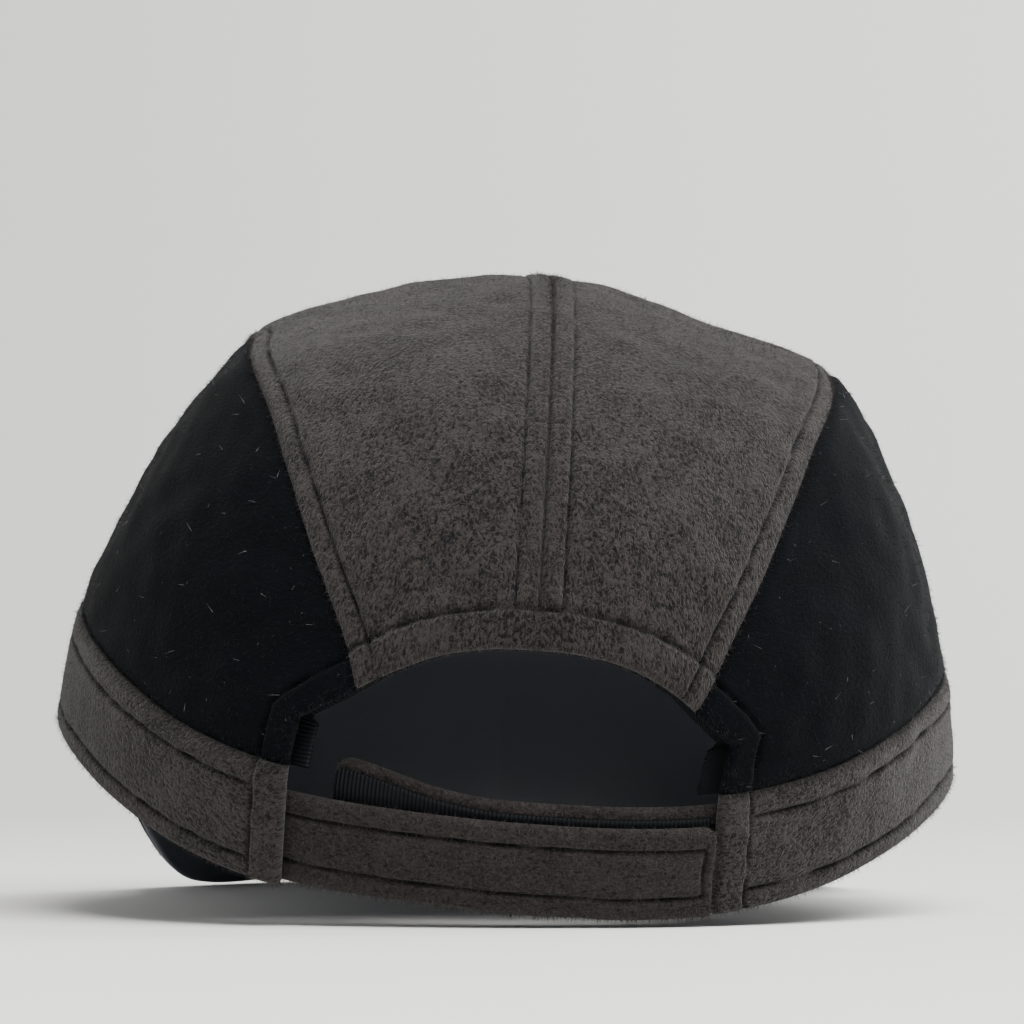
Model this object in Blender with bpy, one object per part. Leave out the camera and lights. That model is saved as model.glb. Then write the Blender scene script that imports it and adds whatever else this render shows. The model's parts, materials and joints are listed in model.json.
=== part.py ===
"""A fleece cap with a curved peak and a closed strap over an arched opening at the back.

Everything is worked out in the cap's own frame, as it is worn: the origin is the middle of the rim, +Z is up
through the crown, +Y is the way that the wearer faces and +X is the wearer's right. The empty rest_pose then
tips the whole cap back until its strap and the peak's two corners stand on the floor at z = 0.

The crown's cloth is one surface over a flat pattern, a disc of radius 1: its middle is the crown's top, its edge
is the rim, and p and q are the pattern's +X and +Y. Each panel is a patch of that disc, given a thickness.
"""

import math
from collections import namedtuple

import bmesh
import bpy
from mathutils import Matrix, Vector

# Driving sizes, in metres
RIM_WIDTH = 0.182
BACK_LENGTH = 0.098
FRONT_LENGTH = 0.100
CROWN_HEIGHT = 0.1050
EAR_LIFT = 0.011
SIDE_ROLL = math.radians(4.0)
HEM_SHIFT = -0.0015
CROWN_SHIFT = 0.0030
SHIFT_FROM = 0.020
SHIFT_FULL_AT = 0.048
PANEL_CLOTH = 0.0024
BAND_CLOTH = 0.0030
BAND_STAND = 0.0006
BAND_HEIGHT = 0.023
LINING_CLOTH = 0.0010
LAYER_GAP = 0.0004
SEAM_GAP = 0.0007
OPENING_WIDTH = 0.080
OPENING_HEIGHT = 0.0495
OPENING_CORNER_HEIGHT = 0.0325
TAPE_CLOTH = 0.0008
TAPE_WIDTH = 0.010
TAPE_SHOWS = 0.0025
TAPE_FOOT = 0.0225
STRAP_WIDTH = 0.0185
STRAP_CLOTH = 0.0030
STRAP_TUCK = 0.012
STRAP_BELOW_RIM = 0.0012
STRAP_CORNER = 0.0025
STRAP_END_GAP = 0.0008
INNER_STRAP_RAISE = 0.0030
INNER_STRAP_TIP_RAISE = 0.0050
INNER_STRAP_SHORT = 0.006
LOOP_TAPE_CLOTH = 0.0008
LOOP_TAPE_MARGIN = 0.0020
PEAK_CLOTH = 0.0017
PEAK_LENGTH = 0.058
PEAK_DROP = 0.056
PEAK_BULGE = 0.004
PEAK_START_TURN = math.radians(122.0)
FLOOR = 0.0

HALF_WIDTH = RIM_WIDTH / 2
HALF_OPENING = OPENING_WIDTH / 2

# The crown's outline, from its top (along 0) to the rim (along 1), as shares of half the width, the back or
# front length, and the crown's height. square is the exponent of the ring at that height, where 2 is an ellipse.
Section = namedtuple("Section", "along side_out side_up back_out back_up front_out front_up square")
CROWN_SECTIONS = [
    Section(0.000, 0.000, 1.000, 0.000, 1.000, 0.000, 1.000, 2.00),
    Section(0.125, 0.217, 0.975, 0.210, 0.985, 0.210, 0.980, 2.05),
    Section(0.250, 0.432, 0.930, 0.420, 0.945, 0.415, 0.930, 2.20),
    Section(0.375, 0.636, 0.858, 0.610, 0.875, 0.605, 0.850, 2.40),
    Section(0.500, 0.752, 0.720, 0.775, 0.765, 0.770, 0.735, 2.40),
    Section(0.625, 0.838, 0.555, 0.895, 0.620, 0.890, 0.590, 2.35),
    Section(0.750, 0.910, 0.375, 0.972, 0.440, 0.965, 0.410, 2.30),
    Section(0.867, 0.967, 0.205, 1.008, 0.210, 1.005, 0.210, 2.25),
    Section(1.000, 1.000, 0.000, 1.000, 0.000, 1.000, 0.000, 2.20),
]

# How far the rim rises above its plane, as a share of EAR_LIFT, by the turn from the middle of the back.
Lift = namedtuple("Lift", "turn rise")
RIM_LIFTS = [
    Lift(0.0, 0.08),
    Lift(25.0, 0.14),
    Lift(37.0, 0.36),
    Lift(50.0, 0.72),
    Lift(65.0, 1.00),
    Lift(90.0, 0.98),
    Lift(130.0, 0.50),
    Lift(180.0, 0.90),
]
LIFT_FADES_FROM = 0.35
LIFT_FULL_AT = 0.86

# Soft dents in the crown: where they are on the flat pattern, how far they reach on it each way, and the depth in
# metres.
Dent = namedtuple("Dent", "p q p_reach q_reach depth")
DENTS = [
    Dent(0.20, 0.10, 0.13, 0.45, 0.0024),
    Dent(-0.30, 0.10, 0.12, 0.45, 0.0012),
    Dent(-0.10, 0.62, 0.20, 0.20, 0.0012),
]

# The seam between the grey top and the black side, on the flat pattern, from the back to the front.
SeamPoint = namedtuple("SeamPoint", "q p")
SIDE_SEAM = [
    SeamPoint(-0.780, 0.238),
    SeamPoint(-0.692, 0.266),
    SeamPoint(-0.568, 0.297),
    SeamPoint(-0.442, 0.316),
    SeamPoint(-0.303, 0.334),
    SeamPoint(-0.100, 0.372),
    SeamPoint(0.067, 0.384),
    SeamPoint(0.250, 0.400),
    SeamPoint(0.510, 0.455),
    SeamPoint(0.720, 0.545),
]
SEAM_TURNS_DOWN_AT = 0.250

# The opening's arch, from its middle to its corner, as shares of half the opening's width and, above the
# corners, of the arch's own rise.
ArchPoint = namedtuple("ArchPoint", "out up")
ARCH = [
    ArchPoint(0.00, 1.00),
    ArchPoint(0.22, 0.97),
    ArchPoint(0.45, 0.85),
    ArchPoint(0.68, 0.58),
    ArchPoint(0.87, 0.24),
    ArchPoint(1.00, 0.00),
]

# The peak's outer edge, from its right end to the middle of the front, as shares of half the rim's width, of
# the reach from the rim's middle to the peak's front, and of PEAK_DROP.
PeakPoint = namedtuple("PeakPoint", "share across forward drop")
PEAK_EDGE = [
    PeakPoint(0.00, 0.905, 0.310, 0.02),
    PeakPoint(0.20, 0.935, 0.415, 0.27),
    PeakPoint(0.40, 0.910, 0.550, 0.62),
    PeakPoint(0.55, 0.820, 0.685, 0.90),
    PeakPoint(0.75, 0.560, 0.865, 1.00),
    PeakPoint(0.90, 0.240, 0.972, 0.92),
    PeakPoint(1.00, 0.000, 1.000, 0.88),
]

Finish = namedtuple("Finish", "colour roughness")
GREY_FLEECE = Finish((0.075, 0.066, 0.062), 0.95)
BLACK_FLEECE = Finish((0.010, 0.012, 0.015), 0.95)
BLACK_LINING = Finish((0.014, 0.015, 0.018), 0.70)
BLACK_TAPE = Finish((0.012, 0.013, 0.015), 0.75)


def clear_scene():
    for old in list(bpy.data.objects):
        bpy.data.objects.remove(old)


def smooth_value(keys, values, key):
    """The value at key on a smooth curve through the points (keys, values), with keys rising."""
    last = len(keys) - 1
    here = 0
    while here < last - 1 and key > keys[here + 1]:
        here += 1
    step = keys[here + 1] - keys[here]
    share = (key - keys[here]) / step

    def slope(index):
        before, after = max(index - 1, 0), min(index + 1, last)
        return (values[after] - values[before]) / (keys[after] - keys[before])

    start, end = slope(here) * step, slope(here + 1) * step
    rise = values[here + 1] - values[here]
    return values[here] + share * (
        start + share * (3 * rise - 2 * start - end + share * (start + end - 2 * rise))
    )


def column(rows, name):
    return [getattr(row, name) for row in rows]


def smooth_step(share):
    share = min(max(share, 0.0), 1.0)
    return share * share * (3 - 2 * share)


def bisect(low, high, is_low):
    """The value between low and high where is_low turns from true to false."""
    for _ in range(40):
        middle = (low + high) / 2
        if is_low(middle):
            low = middle
        else:
            high = middle
    return (low + high) / 2


def section_at(along):
    keys = column(CROWN_SECTIONS, "along")
    return Section(along, *(smooth_value(keys, column(CROWN_SECTIONS, name), along) for name in Section._fields[1:]))


def rim_lift(turn):
    turns, rises = column(RIM_LIFTS, "turn"), column(RIM_LIFTS, "rise")
    return EAR_LIFT * smooth_value(turns, rises, abs(math.degrees(turn)))


def ring_reach(section, turn):
    """How far the crown's outside is from its upright middle line, at this section and turn from the back."""
    length = BACK_LENGTH * section.back_out if math.cos(turn) > 0 else FRONT_LENGTH * section.front_out
    across = abs(math.sin(turn)) / (HALF_WIDTH * section.side_out)
    ahead = abs(math.cos(turn)) / length
    return (across**section.square + ahead**section.square) ** (-1 / section.square)


def dent_depth(p, q):
    depth = 0.0
    for dent in DENTS:
        away = ((p - dent.p) / dent.p_reach) ** 2 + ((q - dent.q) / dent.q_reach) ** 2
        depth += dent.depth * math.exp(-away)
    return depth


def crown_point(p, q):
    """The crown's outer surface over the point (p, q) of the flat pattern."""
    along, turn = math.hypot(p, q), math.atan2(p, -q)
    if along < 1e-6:
        return Vector((0, 0, CROWN_HEIGHT - dent_depth(p, q)))
    section = section_at(along)
    side = math.sin(turn) ** 2
    end_up = section.back_up if math.cos(turn) > 0 else section.front_up
    reach = ring_reach(section, turn)
    fade = smooth_step((along - LIFT_FADES_FROM) / (LIFT_FULL_AT - LIFT_FADES_FROM))
    height = CROWN_HEIGHT * (side * section.side_up + (1 - side) * end_up) + rim_lift(turn) * fade
    return Vector((reach * math.sin(turn), -reach * math.cos(turn), height - dent_depth(p, q)))


def crown_normal(p, q):
    step = 1e-3
    across = crown_point(p + step, q) - crown_point(p - step, q)
    ahead = crown_point(p, q + step) - crown_point(p, q - step)
    return across.cross(ahead).normalized()


def cloth_lengths(count):
    """The length of cloth up the middle of the back from the rim, at count even steps along to the top."""
    points = [crown_point(0, step / count - 1) for step in range(count + 1)]
    lengths = [0.0]
    for here, following in zip(points, points[1:]):
        lengths.append(lengths[-1] + (following - here).length)
    return lengths


CLOTH_LENGTHS = cloth_lengths(60)
WALL_LENGTH = CLOTH_LENGTHS[-1]


def along_at(up):
    """How far along the pattern the cloth is at a length of up from the rim."""
    steps = range(len(CLOTH_LENGTHS))
    return 1 - smooth_value(CLOTH_LENGTHS, steps, up) / steps[-1]


BAND_TOP = along_at(BAND_HEIGHT)
HALF_SEAM = SEAM_GAP / 2 / WALL_LENGTH


def back_spot(x, up):
    """The pattern's point that lies x from the middle of the back and up the cloth from the rim."""
    along = along_at(up)
    section = section_at(along)
    right_angle = math.pi / 2
    turn = bisect(0, right_angle, lambda t: ring_reach(section, t) * math.sin(t) < abs(x))
    return math.copysign(along * math.sin(turn), x), -along * math.cos(turn)


def arch_up(out):
    """The height of the opening's edge above the rim, at this share of the opening's half width."""
    rise = smooth_value(column(ARCH, "out"), column(ARCH, "up"), min(max(out, 0.0), 1.0))
    return OPENING_CORNER_HEIGHT + (OPENING_HEIGHT - OPENING_CORNER_HEIGHT) * rise


def seam_p(q):
    return smooth_value(column(SIDE_SEAM, "q"), column(SIDE_SEAM, "p"), q)


def seam_back_out():
    """The share of the opening's half width at which its arch meets the side seam."""

    def inside(out):
        p, q = back_spot(out * HALF_OPENING, arch_up(out))
        return p < seam_p(q)

    return bisect(0, 1, inside)


def seam_front_q():
    return bisect(0, 1, lambda q: math.hypot(seam_p(q), q) < BAND_TOP)


SEAM_BACK_OUT = seam_back_out()
SEAM_BACK_Q = back_spot(SEAM_BACK_OUT * HALF_OPENING, arch_up(SEAM_BACK_OUT))[1]
SEAM_FRONT_Q = seam_front_q()


def between(low, high, share):
    return low + (high - low) * share


def seam_edge(start_q, end_q, shift):
    """The side seam on the pattern between two values of q, moved out by shift."""

    def edge(share):
        q = between(start_q, end_q, share)
        return seam_p(q) + shift, q

    return edge


def ring_edge(along, start_turn, end_turn):
    def edge(share):
        turn = between(start_turn, end_turn, share)
        return along * math.sin(turn), -along * math.cos(turn)

    return edge


def turn_of(spot):
    return math.atan2(spot[0], -spot[1])


def patch(back, front, inner, outer):
    """Fills the pattern between four edges: back and front run outwards, inner and outer run forwards."""
    corners = back(0), back(1), front(0), front(1)

    def spot(across, ahead):
        blended = []
        for axis in (0, 1):
            ruled = between(back(across)[axis], front(across)[axis], ahead)
            ruled += between(inner(ahead)[axis], outer(ahead)[axis], across)
            near = between(corners[0][axis], corners[1][axis], across)
            far = between(corners[2][axis], corners[3][axis], across)
            blended.append(ruled - between(near, far, ahead))
        return blended

    return spot


def top_panel_spot():
    """The pattern of the right half of the grey top, from the centre seam out to the side seam."""

    def arch_edge(share):
        out = SEAM_BACK_OUT * share
        p, q = back_spot(out * HALF_OPENING, arch_up(out))
        return between(HALF_SEAM, p - HALF_SEAM, share), q

    front_turn = turn_of((seam_p(SEAM_FRONT_Q), SEAM_FRONT_Q))
    along = BAND_TOP - HALF_SEAM
    front = ring_edge(along, math.pi - HALF_SEAM / along, front_turn + HALF_SEAM / along)
    start, end = arch_edge(1), front(1)
    centre_start, centre_end = arch_edge(0), front(0)

    def centre_edge(share):
        return between(centre_start[0], centre_end[0], share), between(centre_start[1], centre_end[1], share)

    def side_edge(share):
        q = between(start[1], end[1], share)
        true_start, true_end = seam_p(start[1]), seam_p(end[1])
        miss = between(start[0] - true_start, end[0] - true_end, share)
        return seam_p(q) + miss, q

    return patch(arch_edge, front, centre_edge, side_edge)


def side_panel_spot():
    """The pattern of the right black side, from the band up to the side seam and round to the front."""
    corner_share = 0.62
    band_along = BAND_TOP - HALF_SEAM

    def opening_edge(share):
        """From the foot of the opening's upright edge, up round its corner and along the arch to the seam."""
        if share < corner_share:
            up = between(BAND_HEIGHT + HALF_SEAM * WALL_LENGTH, OPENING_CORNER_HEIGHT, share / corner_share)
            return back_spot(HALF_OPENING, up)
        out = between(1, SEAM_BACK_OUT, (share - corner_share) / (1 - corner_share))
        p, q = back_spot(out * HALF_OPENING, arch_up(out))
        return p + HALF_SEAM * (share - corner_share) / (1 - corner_share), q

    foot, head = opening_edge(0), opening_edge(1)
    front_turn = turn_of((seam_p(SEAM_FRONT_Q), SEAM_FRONT_Q))
    band_edge = ring_edge(band_along, turn_of(foot), front_turn - HALF_SEAM / band_along)
    toe = band_edge(1)
    turn_q = SEAM_TURNS_DOWN_AT

    def top_edge(share):
        q = between(head[1], turn_q, share)
        return seam_p(q) + HALF_SEAM, q

    def front_edge(share):
        q = between(toe[1], turn_q, share)
        miss = toe[0] - seam_p(toe[1])
        return seam_p(q) + between(miss, HALF_SEAM, share), q

    return patch(opening_edge, front_edge, band_edge, top_edge)


def band_spot():
    """The pattern of the band, from the left end of the opening round the front to the right end."""

    def end_edge(side):
        def edge(share):
            up = between(0, BAND_HEIGHT - HALF_SEAM * WALL_LENGTH, share)
            return back_spot(side * HALF_OPENING, up)

        return edge

    def ring(share, start, end):
        along = math.hypot(*start)
        turn = between(turn_of(start), 2 * math.pi + turn_of(end), share)
        return along * math.sin(turn), -along * math.cos(turn)

    left, right = end_edge(-1), end_edge(1)

    def spot(across, ahead):
        return ring(ahead, right(across), left(across))

    return spot


def lining_spot():
    """The pattern of the lining: the whole disc, less the opening at the back and a little all round it."""
    margin = 2 * LAYER_GAP
    side_corner = math.radians(118)
    arch_share = 9 / 15
    strap_share = 12 / 15
    tuck_x = HALF_OPENING + STRAP_TUCK + margin

    def half_opening(share):
        """The opening's right half, from the top of the arch to the strap's tucked end and round it to the rim."""
        if share < arch_share:
            out = share / arch_share
            return back_spot(out * (HALF_OPENING + margin), arch_up(out) + margin)
        if share < strap_share:
            down = (share - arch_share) / (strap_share - arch_share)
            x = between(HALF_OPENING + margin, tuck_x, down)
            return back_spot(x, between(OPENING_CORNER_HEIGHT + margin, TAPE_FOOT, down))
        return back_spot(tuck_x, between(TAPE_FOOT, 0, (share - strap_share) / (1 - strap_share)))

    def back(share):
        p, q = half_opening(abs(2 * share - 1))
        return math.copysign(p, 2 * share - 1), q

    foot_turn = turn_of(half_opening(1))
    front = ring_edge(1, 2 * math.pi - side_corner, side_corner)
    left = ring_edge(1, -foot_turn, -side_corner)
    right = ring_edge(1, foot_turn, side_corner)
    return patch(back, front, left, right)


def settle(point):
    """The soft crown leans over to the wearer's right at the back, and stands straight at the peak."""
    back = 1 - smooth_step(point.y / FRONT_LENGTH)
    lean = SIDE_ROLL * back
    pushed = smooth_step((point.z - SHIFT_FROM) / (SHIFT_FULL_AT - SHIFT_FROM))
    x = point.x + between(HEM_SHIFT, CROWN_SHIFT, pushed) * back * (1 - (point.x / HALF_WIDTH) ** 2)
    return Vector(
        (
            x * math.cos(lean) + point.z * math.sin(lean),
            point.y,
            point.z * math.cos(lean) - x * math.sin(lean),
        )
    )


def make_material(name, finish):
    material = bpy.data.materials.new(name)
    material.use_nodes = True
    shader = material.node_tree.nodes["Principled BSDF"]
    shader.inputs["Base Color"].default_value = (*finish.colour, 1)
    shader.inputs["Roughness"].default_value = finish.roughness
    material.diffuse_color = (*finish.colour, 1)
    return material


def sheet_object(name, place, columns, rows, thickness, material, pose):
    """A sheet of cloth: place(u, v) gives the outer face and the way that it faces, for u and v from 0 to 1."""
    mesh_maker = bmesh.new()
    bmesh.ops.create_grid(mesh_maker, x_segments=columns, y_segments=rows, size=0.5)
    raised = bmesh.ops.extrude_face_region(mesh_maker, geom=mesh_maker.faces[:])
    outer = {item for item in raised["geom"] if isinstance(item, bmesh.types.BMVert)}
    for vertex in mesh_maker.verts:
        point, facing = place(vertex.co.x + 0.5, vertex.co.y + 0.5)
        vertex.co = settle(point if vertex in outer else point - facing * thickness)
    bmesh.ops.recalc_face_normals(mesh_maker, faces=mesh_maker.faces)
    if mesh_maker.calc_volume(signed=True) < 0:
        bmesh.ops.reverse_faces(mesh_maker, faces=mesh_maker.faces)
    mesh = bpy.data.meshes.new(name)
    mesh_maker.to_mesh(mesh)
    mesh_maker.free()
    mesh.shade_smooth()
    mesh.materials.append(material)
    piece = bpy.data.objects.new(name, mesh)
    bpy.context.scene.collection.objects.link(piece)
    piece.parent = pose


def crown_sheet(spot, inset=0.0, mirror=1):
    """Places a sheet on the crown's surface, inset by so much from its outside."""

    def place(u, v):
        p, q = spot(u, v)
        p *= mirror
        facing = crown_normal(p, q)
        return crown_point(p, q) - facing * inset, facing

    return place


def add_panels(grey, black, pose):
    for side, mirror in (("left", -1), ("right", 1)):
        place = crown_sheet(top_panel_spot(), mirror=mirror)
        sheet_object(f"top_panel_{side}", place, 10, 26, PANEL_CLOTH, grey, pose)
        place = crown_sheet(side_panel_spot(), mirror=mirror)
        sheet_object(f"side_panel_{side}", place, 14, 18, PANEL_CLOTH, black, pose)


def add_band(grey, pose):
    place = crown_sheet(band_spot(), inset=-BAND_STAND)
    sheet_object("band", place, 3, 64, BAND_CLOTH, grey, pose)


def lining_inset():
    return max(PANEL_CLOTH, BAND_CLOTH - BAND_STAND) + LAYER_GAP


def add_lining(black, pose):
    place = crown_sheet(lining_spot(), inset=lining_inset())
    sheet_object("lining", place, 26, 20, LINING_CLOTH, black, pose)


def opening_outline(share):
    """The opening's edge from above the left strap over the arch to the right, as x and the height up the cloth."""
    upright = OPENING_CORNER_HEIGHT - TAPE_FOOT
    arch = OPENING_WIDTH + 2 * (OPENING_HEIGHT - OPENING_CORNER_HEIGHT)
    distance = share * (2 * upright + arch)
    if distance < upright:
        return -HALF_OPENING, TAPE_FOOT + distance
    if distance > upright + arch:
        return HALF_OPENING, TAPE_FOOT + 2 * upright + arch - distance
    out = between(-1, 1, (distance - upright) / arch)
    return out * HALF_OPENING, arch_up(abs(out))


def add_opening_tape(black, pose):
    """The woven tape that covers the opening's raw edge on the inside, and shows past its upright sides."""
    inset = lining_inset() + LINING_CLOTH + LAYER_GAP
    step = 0.01

    def place(u, v):
        share = min(max(v, step), 1 - step)
        x, up = opening_outline(v)
        before, after = Vector(opening_outline(share - step)), Vector(opening_outline(share + step))
        along = (after - before).normalized()
        away = Vector((-along.y, along.x))
        shows = TAPE_SHOWS * abs(away.x) ** 4
        out = between(-shows, TAPE_WIDTH - shows, u)
        p, q = back_spot(x + away.x * out, max(up + away.y * out, 0.0))
        facing = crown_normal(p, q)
        return crown_point(p, q) - facing * inset, facing

    sheet_object("opening_tape", place, 2, 44, TAPE_CLOTH, black, pose)


def strap_place(start_x, end_x, inset_at, raise_at, width, corner):
    """A strap across the opening from start_x to end_x, where it ends with two rounded corners."""

    def place(u, v):
        x = between(start_x, end_x, v)
        left = abs(end_x - x)
        cut = 0.0
        if left < corner:
            cut = corner - math.sqrt(corner**2 - (corner - left) ** 2)
        up = between(cut, width - cut, u) - STRAP_BELOW_RIM + raise_at(v)
        p, q = back_spot(x, up)
        facing = crown_normal(p, q)
        return crown_point(p, q) - facing * inset_at(x), facing

    return place


def add_straps(grey, black, pose):
    """The outer strap comes from the left and closes over the inner one, which comes from the right."""
    tucked = lining_inset()
    edge = HALF_OPENING - STRAP_END_GAP
    over = STRAP_CLOTH + LOOP_TAPE_CLOTH + 2 * LAYER_GAP

    def outer_inset(x):
        return tucked - over * smooth_step((x + HALF_OPENING) / OPENING_WIDTH)

    def inner_inset(x):
        return outer_inset(x) + over

    def outer_raise(_share):
        return 0.0

    def inner_raise(share):
        return INNER_STRAP_RAISE + INNER_STRAP_TIP_RAISE * smooth_step((share - 0.5) * 2) ** 2

    start = HALF_OPENING + STRAP_TUCK
    inner_end = -(edge - INNER_STRAP_SHORT)
    place = strap_place(-start, edge, outer_inset, outer_raise, STRAP_WIDTH, STRAP_CORNER)
    sheet_object("strap_outer", place, 4, 26, STRAP_CLOTH, grey, pose)
    place = strap_place(start, inner_end, inner_inset, inner_raise, STRAP_WIDTH, STRAP_CORNER)
    sheet_object("strap_inner", place, 4, 26, STRAP_CLOTH, grey, pose)

    tape_width = STRAP_WIDTH - 2 * LOOP_TAPE_MARGIN
    tape_start, tape_end = edge, inner_end + LOOP_TAPE_MARGIN
    run = inner_end - start

    def tape_inset(x):
        return inner_inset(x) - LAYER_GAP - LOOP_TAPE_CLOTH

    def tape_raise(share):
        x = between(tape_start, tape_end, share)
        return LOOP_TAPE_MARGIN + inner_raise((x - start) / run)

    place = strap_place(tape_start, tape_end, tape_inset, tape_raise, tape_width, STRAP_CORNER / 2)
    sheet_object("loop_tape", place, 3, 22, LOOP_TAPE_CLOTH, black, pose)


def peak_edge_point(across):
    """The peak's outer edge, where across runs from -1 at the left end over 0 in the middle to 1."""
    share = 1 - abs(across)
    keys = column(PEAK_EDGE, "share")
    reach = FRONT_LENGTH + PEAK_LENGTH
    x = HALF_WIDTH * smooth_value(keys, column(PEAK_EDGE, "across"), share)
    y = reach * smooth_value(keys, column(PEAK_EDGE, "forward"), share)
    z = -PEAK_DROP * smooth_value(keys, column(PEAK_EDGE, "drop"), share)
    return Vector((math.copysign(x, across), y, z))


def peak_surface(u, v):
    """The peak's upper face: u from the rim to the outer edge, and v from its left end to its right end."""
    across = 2 * v - 1
    turn = math.pi - across * (math.pi - PEAK_START_TURN)
    rim = crown_point(math.sin(turn), -math.cos(turn))
    start = rim - Vector((math.sin(turn), -math.cos(turn), 0)) * BAND_CLOTH / 3
    start.z -= LAYER_GAP
    edge = peak_edge_point(across)
    bulge = PEAK_BULGE * 4 * u * (1 - u) * (1 - across**4)
    return start.lerp(edge, u) + Vector((0, 0, bulge))


def peak_sheet(inset):
    def place(u, v):
        step = 1e-3
        low_u, high_u = max(u - step, 0), min(u + step, 1)
        low_v, high_v = max(v - step, 0), min(v + step, 1)
        outwards = peak_surface(high_u, v) - peak_surface(low_u, v)
        rightwards = peak_surface(u, high_v) - peak_surface(u, low_v)
        facing = rightwards.cross(outwards).normalized()
        return peak_surface(u, v) - facing * inset, facing

    return place


def add_peak(grey, black, pose):
    sheet_object("peak_top", peak_sheet(0), 6, 30, PEAK_CLOTH, grey, pose)
    sheet_object("peak_under", peak_sheet(PEAK_CLOTH + LAYER_GAP), 6, 30, PEAK_CLOTH, black, pose)


def rest_on_floor(pose):
    """Tips the cap until its back and its peak touch the floor together, and centres it over the origin."""
    points = {piece.name: [vertex.co for vertex in piece.data.vertices] for piece in pose.children}
    peak = points["peak_under"] + points["peak_top"]
    back = points["strap_outer"] + points["band"]

    def lowest(some, tip):
        return min(point.y * math.sin(tip) + point.z * math.cos(tip) for point in some)

    tip = bisect(0, math.radians(45), lambda angle: lowest(peak, angle) < lowest(back, angle))
    turn = Matrix.Rotation(tip, 4, "X")
    corners = [turn @ point for some in points.values() for point in some]
    low = [min(point[axis] for point in corners) for axis in range(3)]
    high = [max(point[axis] for point in corners) for axis in range(3)]
    pose.rotation_euler.x = tip
    pose.location = (-(low[0] + high[0]) / 2, -(low[1] + high[1]) / 2, FLOOR - low[2])


def main():
    clear_scene()
    pose = bpy.data.objects.new("rest_pose", None)
    bpy.context.scene.collection.objects.link(pose)
    grey = make_material("grey_fleece", GREY_FLEECE)
    black = make_material("black_fleece", BLACK_FLEECE)
    lining = make_material("black_lining", BLACK_LINING)
    tape = make_material("black_tape", BLACK_TAPE)
    add_panels(grey, black, pose)
    add_band(grey, pose)
    add_lining(lining, pose)
    add_opening_tape(tape, pose)
    add_straps(grey, tape, pose)
    add_peak(grey, lining, pose)
    bpy.context.view_layer.update()
    rest_on_floor(pose)


main()
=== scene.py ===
"""A fleece cap seen from behind: napped grey and black cloth, sunk stitching, a strap and a curved peak.

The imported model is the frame. Every piece of cloth is modelled again here over the same pattern, with its
seams, hems, stitch lines and soft folds, and stands for the plain solid of the same name.

The crown's cloth is one surface over a flat pattern, a disc of radius 1: its middle is the crown's top, its
edge is the rim, and p and q are the pattern's +X and +Y. Shapes are worked out in the cap's own frame, as it
is worn: the origin is the middle of the rim, +Z is up, +Y is the way that the wearer faces and +X is the
wearer's right.
"""

import json
import math
from collections import namedtuple

import bmesh
import bpy
import numpy as np
from bpy.props import FloatProperty, FloatVectorProperty, PointerProperty
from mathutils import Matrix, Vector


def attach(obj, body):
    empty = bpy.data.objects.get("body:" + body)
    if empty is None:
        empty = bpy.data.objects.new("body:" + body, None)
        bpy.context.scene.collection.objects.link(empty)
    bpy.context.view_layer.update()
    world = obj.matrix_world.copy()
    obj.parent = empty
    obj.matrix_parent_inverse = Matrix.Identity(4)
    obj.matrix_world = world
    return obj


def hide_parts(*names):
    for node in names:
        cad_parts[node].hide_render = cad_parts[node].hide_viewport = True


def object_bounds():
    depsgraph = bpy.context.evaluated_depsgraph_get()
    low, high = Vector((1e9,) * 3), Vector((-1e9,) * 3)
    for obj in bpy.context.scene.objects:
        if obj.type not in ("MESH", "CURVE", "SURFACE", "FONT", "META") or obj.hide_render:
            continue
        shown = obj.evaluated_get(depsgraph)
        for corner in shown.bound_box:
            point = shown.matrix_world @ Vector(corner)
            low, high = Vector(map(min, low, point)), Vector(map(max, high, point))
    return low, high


bl_info = {
    "name": "Fleece Cap",
    "version": (1, 0, 0),
    "blender": (4, 5, 0),
    "location": "View3D > Sidebar > Cap",
    "description": "Dresses the packed cap in napped fleece, lining, tapes and stitching",
    "category": "Object",
}

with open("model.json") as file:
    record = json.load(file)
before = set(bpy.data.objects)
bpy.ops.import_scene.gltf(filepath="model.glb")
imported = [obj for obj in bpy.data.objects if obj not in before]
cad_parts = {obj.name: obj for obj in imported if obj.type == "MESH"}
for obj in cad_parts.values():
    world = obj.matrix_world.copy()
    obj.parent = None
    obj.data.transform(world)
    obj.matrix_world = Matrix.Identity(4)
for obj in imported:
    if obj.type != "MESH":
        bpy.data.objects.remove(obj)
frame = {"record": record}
CAD_LOW, CAD_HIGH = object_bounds()
HEAD_OPENING = next(mount for mount in frame["record"]["mounts"] if mount["name"] == "head_opening")

# The crown's outline, from its top (along 0) to the rim (along 1), as shares of half the width, the back or
# front length, and the crown's height. square is the exponent of the ring at that height: 2 is an ellipse.
Section = namedtuple("Section", "along side_out side_up back_out back_up front_out front_up square")
CROWN_SECTIONS = [
    (0.000, 0.000, 1.000, 0.000, 1.000, 0.000, 1.000, 2.00),
    (0.125, 0.217, 0.975, 0.210, 0.985, 0.210, 0.980, 2.05),
    (0.250, 0.432, 0.930, 0.420, 0.945, 0.415, 0.930, 2.20),
    (0.375, 0.636, 0.858, 0.610, 0.875, 0.605, 0.850, 2.40),
    (0.500, 0.752, 0.720, 0.775, 0.765, 0.770, 0.735, 2.40),
    (0.625, 0.838, 0.555, 0.895, 0.620, 0.890, 0.590, 2.35),
    (0.750, 0.910, 0.375, 0.972, 0.440, 0.965, 0.410, 2.30),
    (0.867, 0.967, 0.205, 1.008, 0.210, 1.005, 0.210, 2.25),
    (1.000, 1.000, 0.000, 1.000, 0.000, 1.000, 0.000, 2.20),
]

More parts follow.
